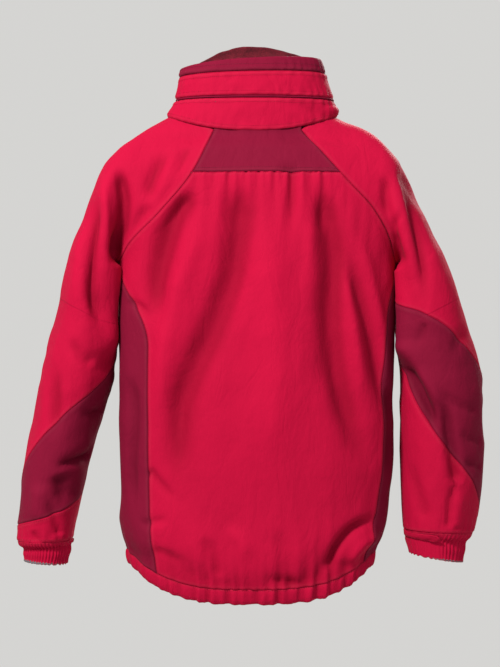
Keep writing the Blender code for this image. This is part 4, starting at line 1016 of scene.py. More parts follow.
RED = (0.315, 0.0028, 0.0255)
MAROON = (0.140, 0.0038, 0.0195)
# The second colour given to woven is painted shade for the hollows of the cloth's folds
shell_red = woven("shell_nylon", RED, (0.190, 0.0016, 0.0142))
shell_maroon = woven("contrast_nylon", MAROON, (0.088, 0.0022, 0.0120))
lining_cloth = woven("lining_taffeta", (0.105, 0.105, 0.115), (0.055, 0.055, 0.062), 0.0007, 0.5, 0.1)
fleece_cloth = fleece("fleece", (0.115, 0.0060, 0.014), (0.040, 0.0022, 0.0060))
red_thread = thread("thread_red", (0.30, 0.005, 0.026))
maroon_thread = thread("thread_maroon", (0.12, 0.006, 0.022))
front_tape = tape("front_zip_tape", (0.024, 0.024, 0.028))
side_tape = tape("side_zip_tape", (0.17, 0.014, 0.045))
cord_braid = braid("cord_braid", (0.030, 0.030, 0.034))
dull_metal = metal("dull_nickel", (0.40, 0.39, 0.37), 0.36)
ring_metal = metal("ring_metal", (0.115, 0.100, 0.095), 0.38)
black_plastic = plastic("black_plastic", (0.022, 0.022, 0.024))
teeth_plastic = plastic("teeth_plastic", (0.030, 0.030, 0.034), 0.35)
teeth_maroon = plastic("teeth_maroon", (0.14, 0.012, 0.036), 0.38)
hook_loop = tape("hook_and_loop", (0.030, 0.028, 0.032))
RED_SET = [shell_red, lining_cloth, red_thread, shell_red]
MAROON_SET = [shell_maroon, lining_cloth, maroon_thread, shell_maroon]


# ---------------------------------------------------------------- seams and surfaces of the body
SEAM_STEP = 0.0012            # spacing of the points along a seam
SEAM_GAP = 0.0018             # from a seam to the row of thread beside it
LEAST_SIDE, LEAST_SHARE = 0.012, 0.31      # of a sheet's flat cut: its sides, and the area it fills


class Seams:
    """Sewn lines as points, and how far any place is from the nearest."""

    def __init__(self, lines):
        points = []
        for line in lines:
            line = np.asarray(line, float)
            run = length_along(line)
            at = np.linspace(0, run[-1], max(3, int(run[-1] / SEAM_STEP)))
            points.append(np.stack([np.interp(at, run, line[:, k]) for k in range(3)], axis=-1))
        points = np.concatenate(points)
        self.tree = KDTree(len(points))
        for index, point in enumerate(points):
            self.tree.insert(point, index)
        self.tree.balance()

    def distance(self, p):
        flat = p.reshape(-1, 3)
        return np.array([self.tree.find(v)[2] for v in flat.tolist()]).reshape(p.shape[:-1])


def torso_normal(angle, z):
    """Outward normal of the torso's plain shape."""
    e = 0.6
    n = np.cross(torso(angle + e, z) - torso(angle - e, z), torso(angle, z + 0.003) - torso(angle, z - 0.003))
    return n / np.linalg.norm(n, axis=-1, keepdims=True)


RAGLANS, SIDE_SEAMS = [], []
for side in ("left", "right"):
    for front in (False, True):
        top = NECK_FRONT if front else NECK_BACK
        heights = np.linspace(RAGLAN_END, top, 60)
        RAGLANS.append(torso(seam_angle(side, front, heights), heights))
        low = hem_height(seam_angle(side, front, -0.72)) + HEM_BAND
        heights = np.linspace(float(low), -0.231, 120)
        SIDE_SEAMS.append(torso(seam_angle(side, front, heights), heights))
around = np.linspace(-86.0, 266.0, 300)
HEM_SEAM = torso(around, hem_height(around) + HEM_BAND)
yoke_angles = np.linspace(float(seam_angle("left", False, YOKE_BOTTOM)),
                          float(seam_angle("right", False, YOKE_BOTTOM)), 60)
YOKE_SEAM = torso(yoke_angles, np.full(60, YOKE_BOTTOM))
raglan_seams = Seams(RAGLANS)
body_seams = Seams([*RAGLANS, *SIDE_SEAMS, HEM_SEAM, YOKE_SEAM])


PUCKER, YOKE_PUCKER = 0.0019, 0.0013       # height of the gathers under the yoke, and on it


def torso_cloth(angle, z, extra=0.0):
    """Points on the hanging cloth of the body, with its folds, and what the cloth is doing there."""
    p, n = torso(angle, z), torso_normal(angle, z)
    height = torso_height(p, n)
    yoke = z - YOKE_BOTTOM
    below, above = np.maximum(-yoke, 0), np.maximum(yoke, 0)
    pucker = ripple(p[..., 0], 0.0112, 31)
    long_pucker = ripple(p[..., 0] + 0.10 * yoke, 0.0235, 37)
    under_yoke = PUCKER * (pucker * np.exp(-(below / 0.026) ** 1.1)
                           + 1.5 * long_pucker * np.exp(-(below / 0.080) ** 1.5))
    on_yoke = YOKE_PUCKER * pucker * np.exp(-above / 0.016)
    height = height + np.where(yoke < 0, under_yoke, on_yoke) * smooth((n[..., 1] - 0.2) / 0.4)
    distance = body_seams.distance(p)
    height = height * smooth(raglan_seams.distance(p) / RAGLAN_FADE)
    total = height + groove(distance) + extra
    return p + n * total[..., None], n, distance, height


def lines_between(grid_angle, grid_z, side, distance):
    """Parameters of a line a distance inside one side of a torso panel's grid."""
    p = torso(grid_angle, grid_z)
    values = from_side(np.stack([grid_angle, grid_z], axis=-1), side)
    out, _ = row_inside(from_side(p, side), values, distance)
    return out[:, 0], out[:, 1]


def area_of(p, mask=None, wrap=False):
    q = np.concatenate([p, p[:, :1]], axis=1) if wrap else p
    a, b = q[1:, 1:] - q[:-1, :-1], q[1:, :-1] - q[:-1, 1:]
    cell = np.linalg.norm(np.cross(a, b), axis=-1) / 2
    return float((cell if mask is None else cell * mask).sum())


def declare(obj, p, mask=None, wrap=False):
    """Works out a sheet's flat cut, the panel's own width and length unrolled, and its area, and keeps none
    of them.
    """
    q = np.concatenate([p, p[:, :1]], axis=1) if wrap else p
    across, down = np.linalg.norm(np.diff(q, axis=1), axis=2), np.linalg.norm(np.diff(q, axis=0), axis=2)
    if mask is not None:
        across, down = across[:-1] * mask, down[:, :mask.shape[1]] * mask
    width, length = max(across.sum(1).max(), LEAST_SIDE), max(down.sum(0).max(), LEAST_SIDE)
    area = area_of(p, mask, wrap)
    area = min(max(area, LEAST_SHARE * width * length), width * length)


def torso_panel(name, angles, low, top, width, height, materials, stitched, nodes):
    """A panel of the body between two angles and two heights; stitched lists its rows of thread."""
    u, v = np.meshgrid(spread(width, (True, True)), spread(height, (True, True)))
    z = np.full(u.shape, -0.4)
    for _ in range(14):
        first, last = angles(z)
        angle = first + (last - first) * u
        z = low(angle) + (top(angle) - low(angle)) * v
    p, n, distance, height_there = torso_cloth(angle, z)
    cloth = Cloth()
    cloth.grid(p, seams=distance, height=height_there, thick=CLOTH_THICK, normals=n)
    for where, distances in stitched.items():
        for index, d in enumerate(distances):
            a, zz = lines_between(angle, z, where, d)
            line, normal = torso_cloth(a, zz)[:2]
            cloth.stitches(line + normal * THREAD_LIFT, normal, phase=0.0012 * index)
    made = cloth.build(name, materials)
    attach(made, "shell")
    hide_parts(*nodes)
    declare(made, torso(angle, z))


def hem_line(angle):
    return hem_height(angle) + HEM_BAND


def neck_front(angle):
    x = torso(angle, NECK_FRONT)[..., 0]
    return NECK_FRONT + 0.004 + 0.004 * np.minimum(1.0, np.abs(x) / 0.074) ** 2


torso_panel("cloth_back_panel", lambda z: (seam_angle("left", False, z), seam_angle("right", False, z)),
            hem_line, lambda a: np.full(np.shape(a), YOKE_BOTTOM), 0.47, 0.66, RED_SET,
            {"left": (SEAM_GAP,), "right": (SEAM_GAP,), "bottom": (0.0020,), "top": (SEAM_GAP,)},
            ["back_panel"])
torso_panel("cloth_back_yoke", lambda z: (seam_angle("left", False, z), seam_angle("right", False, z)),
            lambda a: np.full(np.shape(a), YOKE_BOTTOM), lambda a: np.full(np.shape(a), NECK_BACK + 0.011),
            0.17, 0.075, MAROON_SET,
            {"left": (SEAM_GAP,), "right": (SEAM_GAP,), "top": (SEAM_GAP, 0.0075)},
            ["back_yoke"])
for side in ("left", "right"):
    sign = SIGN[side]

    def front_angles(z, side=side, sign=sign):
        return torso_angle(sign * TAPE_HALF, z, True), seam_angle(side, True, z)

    def side_angles(z, side=side):
        turn = 360.0 if side == "left" else 0.0
        return seam_angle(side, True, z) - turn, seam_angle(side, False, z)
    torso_panel(f"cloth_{side}_front_panel", front_angles, hem_line, neck_front, 0.24, 0.66, RED_SET,
                {"left": (0.0016, 0.0080), "right": (SEAM_GAP,), "top": (SEAM_GAP,)}, [f"{side}_front_panel"])
    torso_panel(f"cloth_{side}_side_panel", side_angles, hem_line,
                lambda a: np.full(np.shape(a), RAGLAN_END), 0.17, 0.46, MAROON_SET,
                {"left": (SEAM_GAP,), "right": (SEAM_GAP,)}, [f"{side}_side_panel"])


# ---------------------------------------------------------------- hem with its elastic
def build_hem():
    """The hem's casing: gathered cloth rolled round its elastic."""
    first = float(torso_angle(TAPE_HALF, -0.71, True)) - 360.0
    last = float(torso_angle(-TAPE_HALF, -0.71, True))
    turns = first + (last - first) * spread(1.12, (False, False), FINE * 0.62)
    v = spread(HEM_BAND * 2, (True, False), 0.0026)
    angle, share = np.meshgrid(turns, v)
    round_it = np.radians(angle) * BODY_RADIUS
    big = hem_gather(round_it)
    under = (0.0032, -0.0011)          # the casing starts behind the panels' lower edge
    top_line = torso_cloth(turns, hem_height(turns) + HEM_BAND, under[1])[0]
    p0 = np.broadcast_to(top_line, angle.shape + (3,)).copy()
    tucked = torso_cloth(turns, hem_height(turns) + HEM_BAND + under[0], under[1] - 0.0006)[0]
    n = torso_normal(angle, hem_height(angle) + HEM_BAND)
    n[..., 2] = 0.0
    n /= np.linalg.norm(n, axis=-1, keepdims=True)
    turn = share * math.pi * 1.55
    swell = np.sin(np.minimum(turn, math.pi))
    out = 0.0034 * swell - 0.0040 * smooth(turn / 2.4) - 0.0060 * smooth((turn - 2.2) / 2.4)
    down = HEM_BAND * (1.0 - np.cos(np.minimum(turn, math.pi * 1.02))) / 2
    down = down - 0.006 * smooth((turn - math.pi) / 1.6)
    out = out + 0.0014 * big * swell + 0.0006 * ripple(round_it, 0.0085, 9) * swell
    down = down + 0.0011 * big * smooth(turn / 2.6)
    p = p0 + n * out[..., None]
    p[..., 2] = p0[..., 2] - down
    p = np.concatenate([tucked[None], p])
    big, swell = np.concatenate([big[:1], big]), np.concatenate([swell[:1], swell])
    distance = edge_distances(p, ("top",))
    cloth = Cloth()
    normals = cloth.grid(p, seams=distance, height=0.005 * big * swell, thick=CLOTH_THICK)
    cloth.sew(p, normals, (("top", 0.0054), ("top", 0.0225)))
    made = cloth.build("cloth_hem_casing", RED_SET)
    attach(made, "shell")
    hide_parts("hem_casing")
    declare(made, p)


build_hem()


def build_body_lining():
    """The lining, which follows the outer cloth's folds just behind it."""
    first = float(torso_angle(0.034, -0.5, True)) - 360.0
    last = float(torso_angle(-0.034, -0.5, True))
    u, v = np.meshgrid(first + (last - first) * np.linspace(0, 1, 130), np.linspace(0, 1, 56))
    low = hem_height(u) + HEM_BAND + 0.002
    z = low + (-0.238 - low) * v
    p, n = torso(u, z, 0.0100), torso_normal(u, z)
    height = torso_height(torso(u, z), n) + crumple(p, 0.0014, 131, 0.04)
    p = p + n * np.clip(height, -0.022, 0.003)[..., None]
    cloth = Cloth()
    cloth.grid(p, height=height, thick=0.0008, slot=0, inner=0)
    made = cloth.build("cloth_body_lining", [lining_cloth])
    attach(made, "shell")
    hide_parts("body_lining")
    declare(made, p)


build_body_lining()


# ---------------------------------------------------------------- sleeves
def sleeve_frame_normal(side, turn, station):
    """Outward normal of a sleeve's plain shape."""
    s0, s1 = np.maximum(station - 0.02, 0.0), np.minimum(station + 0.02, len(SLEEVE[side]) - 0.001)
    n = np.cross(sleeve(side, turn + 1.2, station) - sleeve(side, turn - 1.2, station),
                 sleeve(side, turn, s1) - sleeve(side, turn, s0))
    n /= np.maximum(np.linalg.norm(n, axis=-1, keepdims=True), 1e-9)
    here = sleeve(side, turn, station)
    away = here - (here + sleeve(side, turn + 180.0, station)) / 2
    return np.where(((n * away).sum(-1) < 0)[..., None], -n, n)


def panel_edge(side, table, turn):
    """Height of the elbow panel's edge all round; in front it only guides the cloth."""
    inner, middle, outer = table[side]
    t = np.mod(turn, 360.0)
    back = curve([(0.0, outer), (90.0, middle), (180.0, inner)], 1, t)
    fore = inner + (outer - inner) * (1 - np.cos(np.radians(np.clip(t - 180.0, 0, 180.0)))) / 2
    return np.where(t <= 180.0, back, fore)


SWING = {side: {"start": np.array([SIGN[side] * 0.2255, 0.0, -0.236]),
                "way": np.array([SIGN[side] * 0.45, 0.0, -0.893]), "length": 0.086} for side in SIGN}
BEND = {side: {"start": (SIGN[side] * 0.28, 0.0, -0.333), "end": (SIGN[side] * 0.28, 0.0, -0.418)}
        for side in SIGN}


def swing_end(side, turn):
    """Station at which the sleeve passes the given length along the upper arm's way from its start."""
    turn = np.asarray(turn, float)
    low, high = np.ones(turn.shape), np.full(turn.shape, 8.0)
    for _ in range(30):
        middle = (low + high) / 2
        far = (sleeve(side, turn, middle) - SWING[side]["start"]) @ SWING[side]["way"] > SWING[side]["length"]
        low, high = np.where(far, low, middle), np.where(far, middle, high)
    return (low + high) / 2


def build_sleeve(side):
    half = 180.0 * spread(0.20, (True, True))
    turns = np.concatenate([half, 180.0 + half[1:-1]])
    cuff = CUFF_STATION[side]
    fine_turn = np.linspace(0, 360, 241)
    back_turn = np.linspace(0, 180, 121)
    joined = swing_end(side, turns)
    upper = np.clip(station_at(side, turns, panel_edge(side, ELBOW_UPPER, turns)), 0, cuff)
    lower = np.clip(station_at(side, turns, panel_edge(side, ELBOW_LOWER, turns)), 0, cuff - 0.05)

    def edge_points(table):
        heights = panel_edge(side, table, back_turn)
        return sleeve(side, back_turn, station_at(side, back_turn, heights))
    upper_line, lower_line = edge_points(ELBOW_UPPER), edge_points(ELBOW_LOWER)
    lines = [sleeve(side, fine_turn, np.zeros(241)), upper_line, lower_line,
             sleeve(side, fine_turn, np.full(241, cuff))]
    outer = np.array([0.0])
    ends = [float(station_at(side, outer, panel_edge(side, table, outer))[0])
            for table in (ELBOW_UPPER, ELBOW_LOWER)]
    for t, (first, last) in ((0.0, ends), (180.0, (0.0, cuff))):
        lines.append(sleeve(side, np.full(80, t), np.linspace(first, last, 80)))
    seams = Seams(lines)
    raglan = Seams(lines[:1])
    collar_line = Seams([collar(np.linspace(-180, 180, 200), 0.0)])

    def cloth_at(turn, station):
        p, n = sleeve(side, turn, station), sleeve_frame_normal(side, turn, station)
        height = sleeve_height(side, p, turn) * smooth(raglan.distance(p) / RAGLAN_FADE)
        height = height + sleeve_lean(side, p[..., 2], turn) * smooth(raglan.distance(p) / 0.008)
        height = height * smooth((cuff - station) / 0.25 + 0.25)
        distance = seams.distance(p)
        near_neck = collar_line.distance(p)
        return p + n * (height + groove(distance) * smooth(near_neck / 0.01))[..., None], n, distance, height

    def rows_between(first, last, length, sewn):
        share = spread(length, sewn)[:, None]
        return first[None] + (last - first)[None] * share

    zero = np.zeros(len(turns))
    red, maroon = RED_SET, MAROON_SET
    # The shoulder and upper sleeve, down to where the elbow's bend starts
    upper_a = np.minimum(upper, joined)
    band_a = rows_between(zero, upper_a, 0.27, (True, True))
    band_b = rows_between(upper_a, joined, 0.045, (True, False))[1:]
    station = np.concatenate([band_a, band_b])
    turn = np.broadcast_to(turns, station.shape)
    p, n, distance, height = cloth_at(turn, station)
    split = len(band_a) - 1
    gusset = np.zeros((len(station) - 1, len(turns)), bool)
    deep = (joined - upper_a) > 0.004
    on_back = turns < 179.999
    gusset[split:, :] = ((deep | np.roll(deep, -1)) & on_back)[None]
    rest = ~gusset
    flat = (joined - upper_a) < 1e-6
    rest[split:, :] &= ~(flat & np.roll(flat, -1))[None]
    near = np.stack([joined - 0.03, joined, joined + 0.03])
    ring = cloth_at(np.broadcast_to(turns, near.shape), near)[0]
    exact = outward(ring, True)[1]

    def normals_for(cloth, total, row):
        """The upper sleeve and the forearm keep the same normals along the row where they meet."""
        for col in range(len(turns)):
            cloth.fixed.append((row * len(turns) + col, exact[col]))
            cloth.fixed.append((total + row * len(turns) + col, -exact[col]))

    for label, mask, looks, nodes, slot in (
            ("raglan_sleeve", rest, red, [f"{side}_shoulder", f"{side}_upper_sleeve"], "shell_nylon"),
            ("elbow_gusset", gusset, maroon, ["right_elbow_gusset"], "contrast_nylon")):
        if not mask.any():
            continue
        cloth = Cloth()
        cloth.grid(p, True, CLOTH_THICK, mask=mask, seams=distance, height=height, normals=n)
        normals_for(cloth, p.shape[0] * p.shape[1], len(station) - 1)
        if label == "raglan_sleeve":
            for low_turn, high_turn in ((32.0, 176.0), (184.0, 328.0)):
                t = np.linspace(low_turn, high_turn, 160)
                seam_line, beside = sleeve(side, t, np.zeros(160)), sleeve(side, t, np.full(160, 0.25))
                gap = np.linalg.norm(beside - seam_line, axis=1)
                line, normal = cloth_at(t, 0.25 * 0.0019 / np.maximum(gap, 1e-4))[:2]
                cloth.stitches(line + normal * THREAD_LIFT, normal)
        piece = cloth.build(f"cloth_{side}_{label}", looks)
        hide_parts(*nodes)
        declare(piece, p, mask=mask, wrap=True)
        s = SWING[side]
        tuple(s["start"])
        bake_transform(piece)

    # The forearm, from the elbow's bend to the cuff
    upper_b, lower_b = np.maximum(upper, joined), np.maximum(lower, joined)
    bands = [rows_between(joined, upper_b, 0.16 if side == "left" else 0.06, (False, True)),
             rows_between(upper_b, lower_b, 0.17, (True, True))[1:],
             rows_between(lower_b, np.full(len(turns), cuff), 0.10, (True, True))[1:]]
    station = np.concatenate(bands)
    turn = np.broadcast_to(turns, station.shape)
    p, n, distance, height = cloth_at(turn, station)
    first, second = len(bands[0]) - 1, len(bands[0]) + len(bands[1]) - 1
    cells = np.zeros((len(station) - 1, len(turns)), int)
    back = turns < 179.999
    cells[first:second, back] = 1
    cells[second:, back] = 2
    thin = (upper_b - joined) < 1e-6
    solid = np.ones(cells.shape, bool)
    solid[:first] &= ~(thin & np.roll(thin, -1))[None]
    groups = [
        ("forearm", 0, red, [f"{side}_forearm_front", f"{side}_forearm_outer"], "shell_nylon"),
        ("elbow_panel", 1, maroon, [f"{side}_elbow_panel"], "contrast_nylon"),
        ("forearm_back", 2, red, [f"{side}_forearm_back"], "shell_nylon"),
    ]
    for label, key, looks, nodes, slot in groups:
        mask = (cells == key) & solid
        cloth = Cloth()
        cloth.grid(p, True, CLOTH_THICK, mask=mask, seams=distance, height=height, normals=n)
        normals_for(cloth, p.shape[0] * p.shape[1], 0)
        if key != 1:
            table, way = (ELBOW_UPPER, 1.0) if key == 0 else (ELBOW_LOWER, -1.0)
            t = np.linspace(2, 178, 150)
            if side == "right" and key == 0:
                t = np.linspace(2, 120, 110)
            heights = panel_edge(side, table, t) + way * 0.0024
            line, normal = cloth_at(t, station_at(side, t, heights))[:2]
            keep = (line - SWING[side]["start"]) @ SWING[side]["way"] > SWING[side]["length"]
            cloth.stitches((line + normal * THREAD_LIFT)[keep], normal[keep])
            if key == 2:
                t = np.linspace(2, 178, 120)
                line, normal = cloth_at(t, np.full(120, cuff - 0.12))[:2]
                cloth.stitches(line + normal * THREAD_LIFT, normal)
        piece = cloth.build(f"cloth_{side}_{label}", looks)
        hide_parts(*nodes)
        declare(piece, p, mask=mask, wrap=True)
        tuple(BEND[side]["start"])
        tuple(BEND[side]["end"])
        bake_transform(piece)
    build_cuff(side, cuff)


def build_cuff(side, cuff):
    """Elastic cuff: close ribs, rolled under at its mouth."""
    columns = np.linspace(0, 360, 481)[:-1]
    end = float(len(SLEEVE[side])) - 0.001
    share = spread(0.05, (True, False), 0.0022)
    u, v = np.meshgrid(columns, share)
    roll = np.clip((v - 0.80) / 0.20, 0, 1)
    station = cuff + (end - cuff) * np.minimum(v / 0.80, 1.0)
    p = sleeve(side, u, station)
    n = sleeve_frame_normal(side, u, np.full(u.shape, cuff + 0.4))
    plain = np.zeros(u.shape)
    if side == "right":
        plain = smooth((np.mod(u, 360) - 78.0) / 12.0) * smooth((188.0 - np.mod(u, 360)) / 10.0)
    count = 46 if side == "left" else 44
    body = np.sin(np.pi * np.clip(v / 0.86, 0, 1)) ** 0.6
    shift = 0.9 * noise(np.stack([np.cos(np.radians(u)) * 2, np.sin(np.radians(u)) * 2, v * 0], -1), 0.7, 5)
    ribs = np.sin(np.radians(u) * count + shift * 3.0)
    height = (0.00115 * ribs * (1 - 0.85 * plain)) * body + 0.0015 * body - 0.0010
    height = height + 0.0010 * np.sin(v / 0.80 * 4 * math.pi) * (1 - plain) * body
    height = height - 0.0040 * smooth(roll)
    q = p + n * height[..., None]
    q[..., 2] += 0.0035 * smooth(roll) + 0.0010 * ripple(np.radians(u) * 0.06, 0.013, 19) * (v > 0.3)
    distance = edge_distances(q, ("top",))
    cloth = Cloth()
    normals = cloth.grid(q, True, CLOTH_THICK, seams=distance + 0.002, height=height * 2.2)
    cloth.sew(q, normals, (("top", STITCH_IN),))
    made = cloth.build(f"cloth_{side}_cuff", RED_SET)
    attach(made, f"{side}_forearm")
    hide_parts(f"{side}_cuff")
    declare(made, q, wrap=True)


TAB_LONG, TAB_WIDE, TAB_LIFT = 0.085, 0.022, 0.0030


def build_tab(side):
    """Cuff strap with rounded free corners and hook-and-loop on its inside."""
    cuff = CUFF_STATION[side]
    first, last = {"left": (192.0, 284.0), "right": (176.0, 92.0)}[side]
    low = cuff + (0.55 if side == "left" else 0.75)
    u, v = np.meshgrid(spread(TAB_LONG, (False, False), 0.0028), spread(TAB_WIDE, (False, False), 0.0022))
    reach = 1.0 - 0.085 * (np.abs(2 * v - 1) ** 3.2)
    turn = first + (last - first) * u * reach
    station = cuff + 0.05 + (low - cuff - 0.05) * v
    p, n = sleeve(side, turn, station), sleeve_frame_normal(side, turn, np.full(u.shape, cuff + 0.4))
    lift = TAB_LIFT + 0.0007 * np.sin(math.pi * v) + 0.0016 * smooth((u - 0.82) / 0.18)
    lift = lift - 0.0018 * smooth(1 - u / 0.05) + 0.0004 * ripple(u * TAB_LONG, 0.02, 23)
    p = p + n * lift[..., None]
    if side == "right":
        p[..., 2] += 0.0035 * (1 - smooth(u / 0.30)) * (1 - v)
    cloth = Cloth()
    normals = cloth.grid(p, False, 0.0016, out=n, inner=4)
    cloth.sew(p, normals, (("top", STITCH_IN), ("bottom", STITCH_IN), ("right", 0.0024)))
    made = cloth.build(f"cloth_{side}_cuff_tab", RED_SET + [hook_loop])
    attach(made, f"{side}_tab")
    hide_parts(f"{side}_cuff_tab")
    declare(made, p)


for side in ("left", "right"):
    build_sleeve(side)
    build_tab(side)


# ---------------------------------------------------------------- collar
COLLAR_ROUND, COLLAR_LEVEL = 0.46, 0.05    # length round the collar, and height from level to level


def collar_grid(low, high, inset, step, sewn):
    """A grid round the collar between two of its levels: shares of the height, levels and angles."""
    u, v = np.meshgrid(spread(COLLAR_ROUND, (False, False), step),
                       spread(COLLAR_LEVEL * (high - low), sewn, step))
    level = low + (high - low) * v
    ends = np.array([collar_edges(float(value), TAPE_HALF, inset) for value in level[:, 0]])
    angle = ends[:, :1] + (ends[:, 1:] - ends[:, :1]) * u
    return v, level, angle


def collar_puckers(along, below, above, length, seed, size):
    """Cloth gathered a little into the seams under and over a band."""
    ridges = ripple(along, length, seed)
    other = ripple(along + 0.004, length * 1.12, seed + 3)
    lower, upper = np.exp(-(below / 0.013) ** 1.4), np.exp(-(above / 0.011) ** 1.4)
    return size * (ridges * lower + 0.8 * other * upper)


def collar_band(name, low, high, looks, nodes, bulge, pucker, seed):
    """One red band of the collar, gathered a little into its seams."""
    v, level, angle = collar_grid(low, high, -0.0010, FINE * 0.62, (True, True))
    p = collar(angle, level, -0.0010)
    n = outward(p)
    below = edge_distances(p, ("top",))
    above = edge_distances(p, ("bottom",))
    along = np.radians(angle) * COLLAR_RADIUS
    height = bulge * np.sin(math.pi * v) ** 0.75 + collar_puckers(along, below, above, 0.0150, seed, pucker)
    height = height + crumple(p, 0.0017, seed, 0.026, 0.8)
    if low < 0.5:
        corner = np.exp(-((angle - 172.0) / 26.0) ** 2 - ((v - 0.42) / 0.30) ** 2)
        slanted = ((angle - 128.0) / 24.0 - (0.62 - v) * 1.6) / 0.34
        crease = np.exp(-slanted ** 2) * np.sin(math.pi * v) ** 0.8
        height = height + 0.0052 * corner - 0.0034 * crease * smooth((angle - 92.0) / 20.0)
        left = np.exp(-((angle - 4.0) / 22.0) ** 2 - ((v - 0.25) / 0.28) ** 2)
        height = height + 0.0020 * left
    distance = np.minimum(below, above)
    height = height * smooth(distance / 0.006 + 0.15)
    total = height + groove(distance, 0.0014, 0.0015)
    p = p + n * total[..., None]
    cloth = Cloth()
    normals = cloth.grid(p, thick=0.0016, seams=distance, height=height * 1.6)
    for index, d in enumerate((0.0020, 0.0085)):
        for where in ("top", "bottom"):
            line, normal = edge_line(p, normals, where, d)
            cloth.stitches(line, normal, phase=0.0011 * index)
    cloth.sew(p, normals, (("left", 0.0030), ("right", 0.0030)))
    made = cloth.build(name, looks)
    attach(made, "shell")
    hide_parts(*nodes)
    declare(made, collar(angle, level))


def build_collar_top():
    """The contrast band: up from its seam, over the collar's edge and down to the fleece."""
    u, v = np.meshgrid(spread(COLLAR_ROUND, (False, False), FINE * 0.62),
                       spread(0.030, (True, False), 0.0021))
    rise, over = np.clip(v / 0.66, 0, 1), smooth((v - 0.62) / 0.38)
    level = 2.0 + 0.985 * rise
    ends = np.array([collar_edges(float(value), TAPE_HALF, 0.0) for value in level[:, 0]])
    angle = ends[:, :1] + (ends[:, 1:] - ends[:, :1]) * u
    p = collar(angle, level, -0.0008 + 0.0105 * over)
    p[..., 2] += 0.0012 * np.sin(math.pi * np.clip((v - 0.55) / 0.45, 0, 1)) - 0.0035 * over ** 2
    n = outward(collar(angle, level, 0.0))
    below = edge_distances(p, ("top",))
    along = np.radians(angle) * COLLAR_RADIUS
    height = collar_puckers(along, below, below + 1.0, 0.0130, 47, 0.0013)
    height = height + 0.0008 * np.sin(math.pi * rise) ** 0.8 + crumple(p, 0.0013, 48, 0.024, 0.8)
    height = height * smooth(below / 0.005 + 0.15)
    p = p + n * (height + groove(below, 0.0015, 0.0015))[..., None]
    cloth = Cloth()
    normals = cloth.grid(p, thick=0.0015, out=n, seams=below, height=height * 1.4)
    cloth.sew(p, normals, (("top", 0.0020), ("top", 0.0120)))
    made = cloth.build("cloth_collar_top_band", MAROON_SET)
    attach(made, "shell")
    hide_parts("collar_top_band")
    declare(made, p)


def build_collar_piping():
    """The thin maroon cord between the two red bands."""
    angles = np.linspace(*collar_edges(1.02, TAPE_HALF, 0.0), 260)
    middle = collar(angles, 1.02, -0.0006)
    cloth = Cloth()
    cloth.tube(middle, 0.0013 + 0.00012 * ripple(np.radians(angles) * 0.1, 0.021, 51), 0, 10)
    made = cloth.build("cloth_collar_piping", [shell_maroon])
    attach(made, "shell")
    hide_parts("collar_piping")


def build_fleece():
    """The collar's thick fleece inside, with its uneven pile."""
    v, level, angle = collar_grid(0.10, 2.98, 0.0150, 0.0042, (False, False))
    rise = np.maximum(0.0, np.sin(np.radians(angle))) ** 1.2
    lift = 0.020 * rise * np.exp(-((angle - 84.0) / 48.0) ** 2)
    p = collar(angle, level, 0.0150 - 0.0030 * smooth((v - 0.9) / 0.1), lift * v ** 1.3)
    n = outward(p)
    pile = noise(p, 0.0085, 53) * 0.0010 + noise(p, 0.0190, 54) * 0.0014
    p = p + n * pile[..., None]
    p[..., 2] += 0.0010 * noise(p, 0.012, 55) * v
    cloth = Cloth()
    cloth.grid(p, thick=0.0048, out=n, slot=0, inner=0, height=pile * 3)
    made = cloth.build("pad_collar_lining", [fleece_cloth])
    bevel = made.modifiers.new("soft_edge", "BEVEL")
    bevel.width, bevel.segments, bevel.limit_method, bevel.angle_limit = 0.0019, 3, "ANGLE", math.radians(50)
    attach(made, "shell")
    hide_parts("collar_lining")


def build_stowed_hood():
    """Rolled hood inside the collar: a long flat roll with the turns of its cloth."""
    first, last = collar_edges(1.0, 0.030, 0.0062)
    turns = np.linspace(first, last, 110)
    section = np.linspace(0, 2 * math.pi, 29)[:-1]
    sides = len(section)
    angle, around = np.meshgrid(turns, section, indexing="ij")
    level = 1.0 + 0.68 * np.cos(around)
    thick = 0.0024 * np.sin(around) * (1 + 0.16 * np.cos(5 * around + np.radians(angle) * 3))
    p = collar(angle, level, 0.0087 - thick)
    p[..., 2] += 0.0009 * noise(p, 0.02, 57)
    cloth = Cloth()
    index = np.arange(p.shape[0] * p.shape[1]).reshape(p.shape[:2])
    nxt = np.roll(index, -1, axis=1)
    quads = np.stack([index[:-1], nxt[:-1], nxt[1:], index[1:]], -1).reshape(-1, 4)
    uv = np.zeros((len(quads), 4, 2))
    cell = np.arange(len(quads))
    for k, (dr, dc) in enumerate(((0, 0), (0, 1), (1, 1), (1, 0))):
        uv[:, k, 0] = (cell // sides + dr) * 0.0042
        uv[:, k, 1] = (cell % sides + dc) * 0.0024
    cloth.add(p.reshape(-1, 3), quads, 0, uv)
    for row in (0, len(turns) - 1):
        centre = p[row].mean(0)
        cloth.add(np.concatenate([p[row], centre[None]]), fan(sides, 1 if row else -1), 0)
    made = cloth.build("pad_stowed_hood", [shell_red])
    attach(made, "shell")
    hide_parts("stowed_hood")


collar_band("cloth_collar_lower_band", -0.06, 0.985, RED_SET, ["collar_lower_band"], 0.0011,
            0.0019, 43)
collar_band("cloth_collar_upper_band", 1.055, 2.0, RED_SET, ["collar_upper_band"], 0.0010,
            0.0018, 45)
build_collar_top()
build_collar_piping()
build_fleece()
build_stowed_hood()


# ---------------------------------------------------------------- front closure
CLOSURE_TOP, FLAP_TOP, FLAP_BOTTOM, FLAP_OUT = 0.080, 0.022, -0.682, 0.0098
FLAP_HINGE_X, FLAP_EDGE_X, SNAP_HEIGHTS = 0.0340, -0.0330, (-0.004, -0.650)
BEAD, BEAD_HALF_GAP, BEAD_END = 0.0030, 0.00068, 0.0041       # a tooth's thickness, inner and outer end
FRONT_IN = np.array([0.0, 1.0, -ZIP_SLOPE]) / math.sqrt(1 + ZIP_SLOPE ** 2)


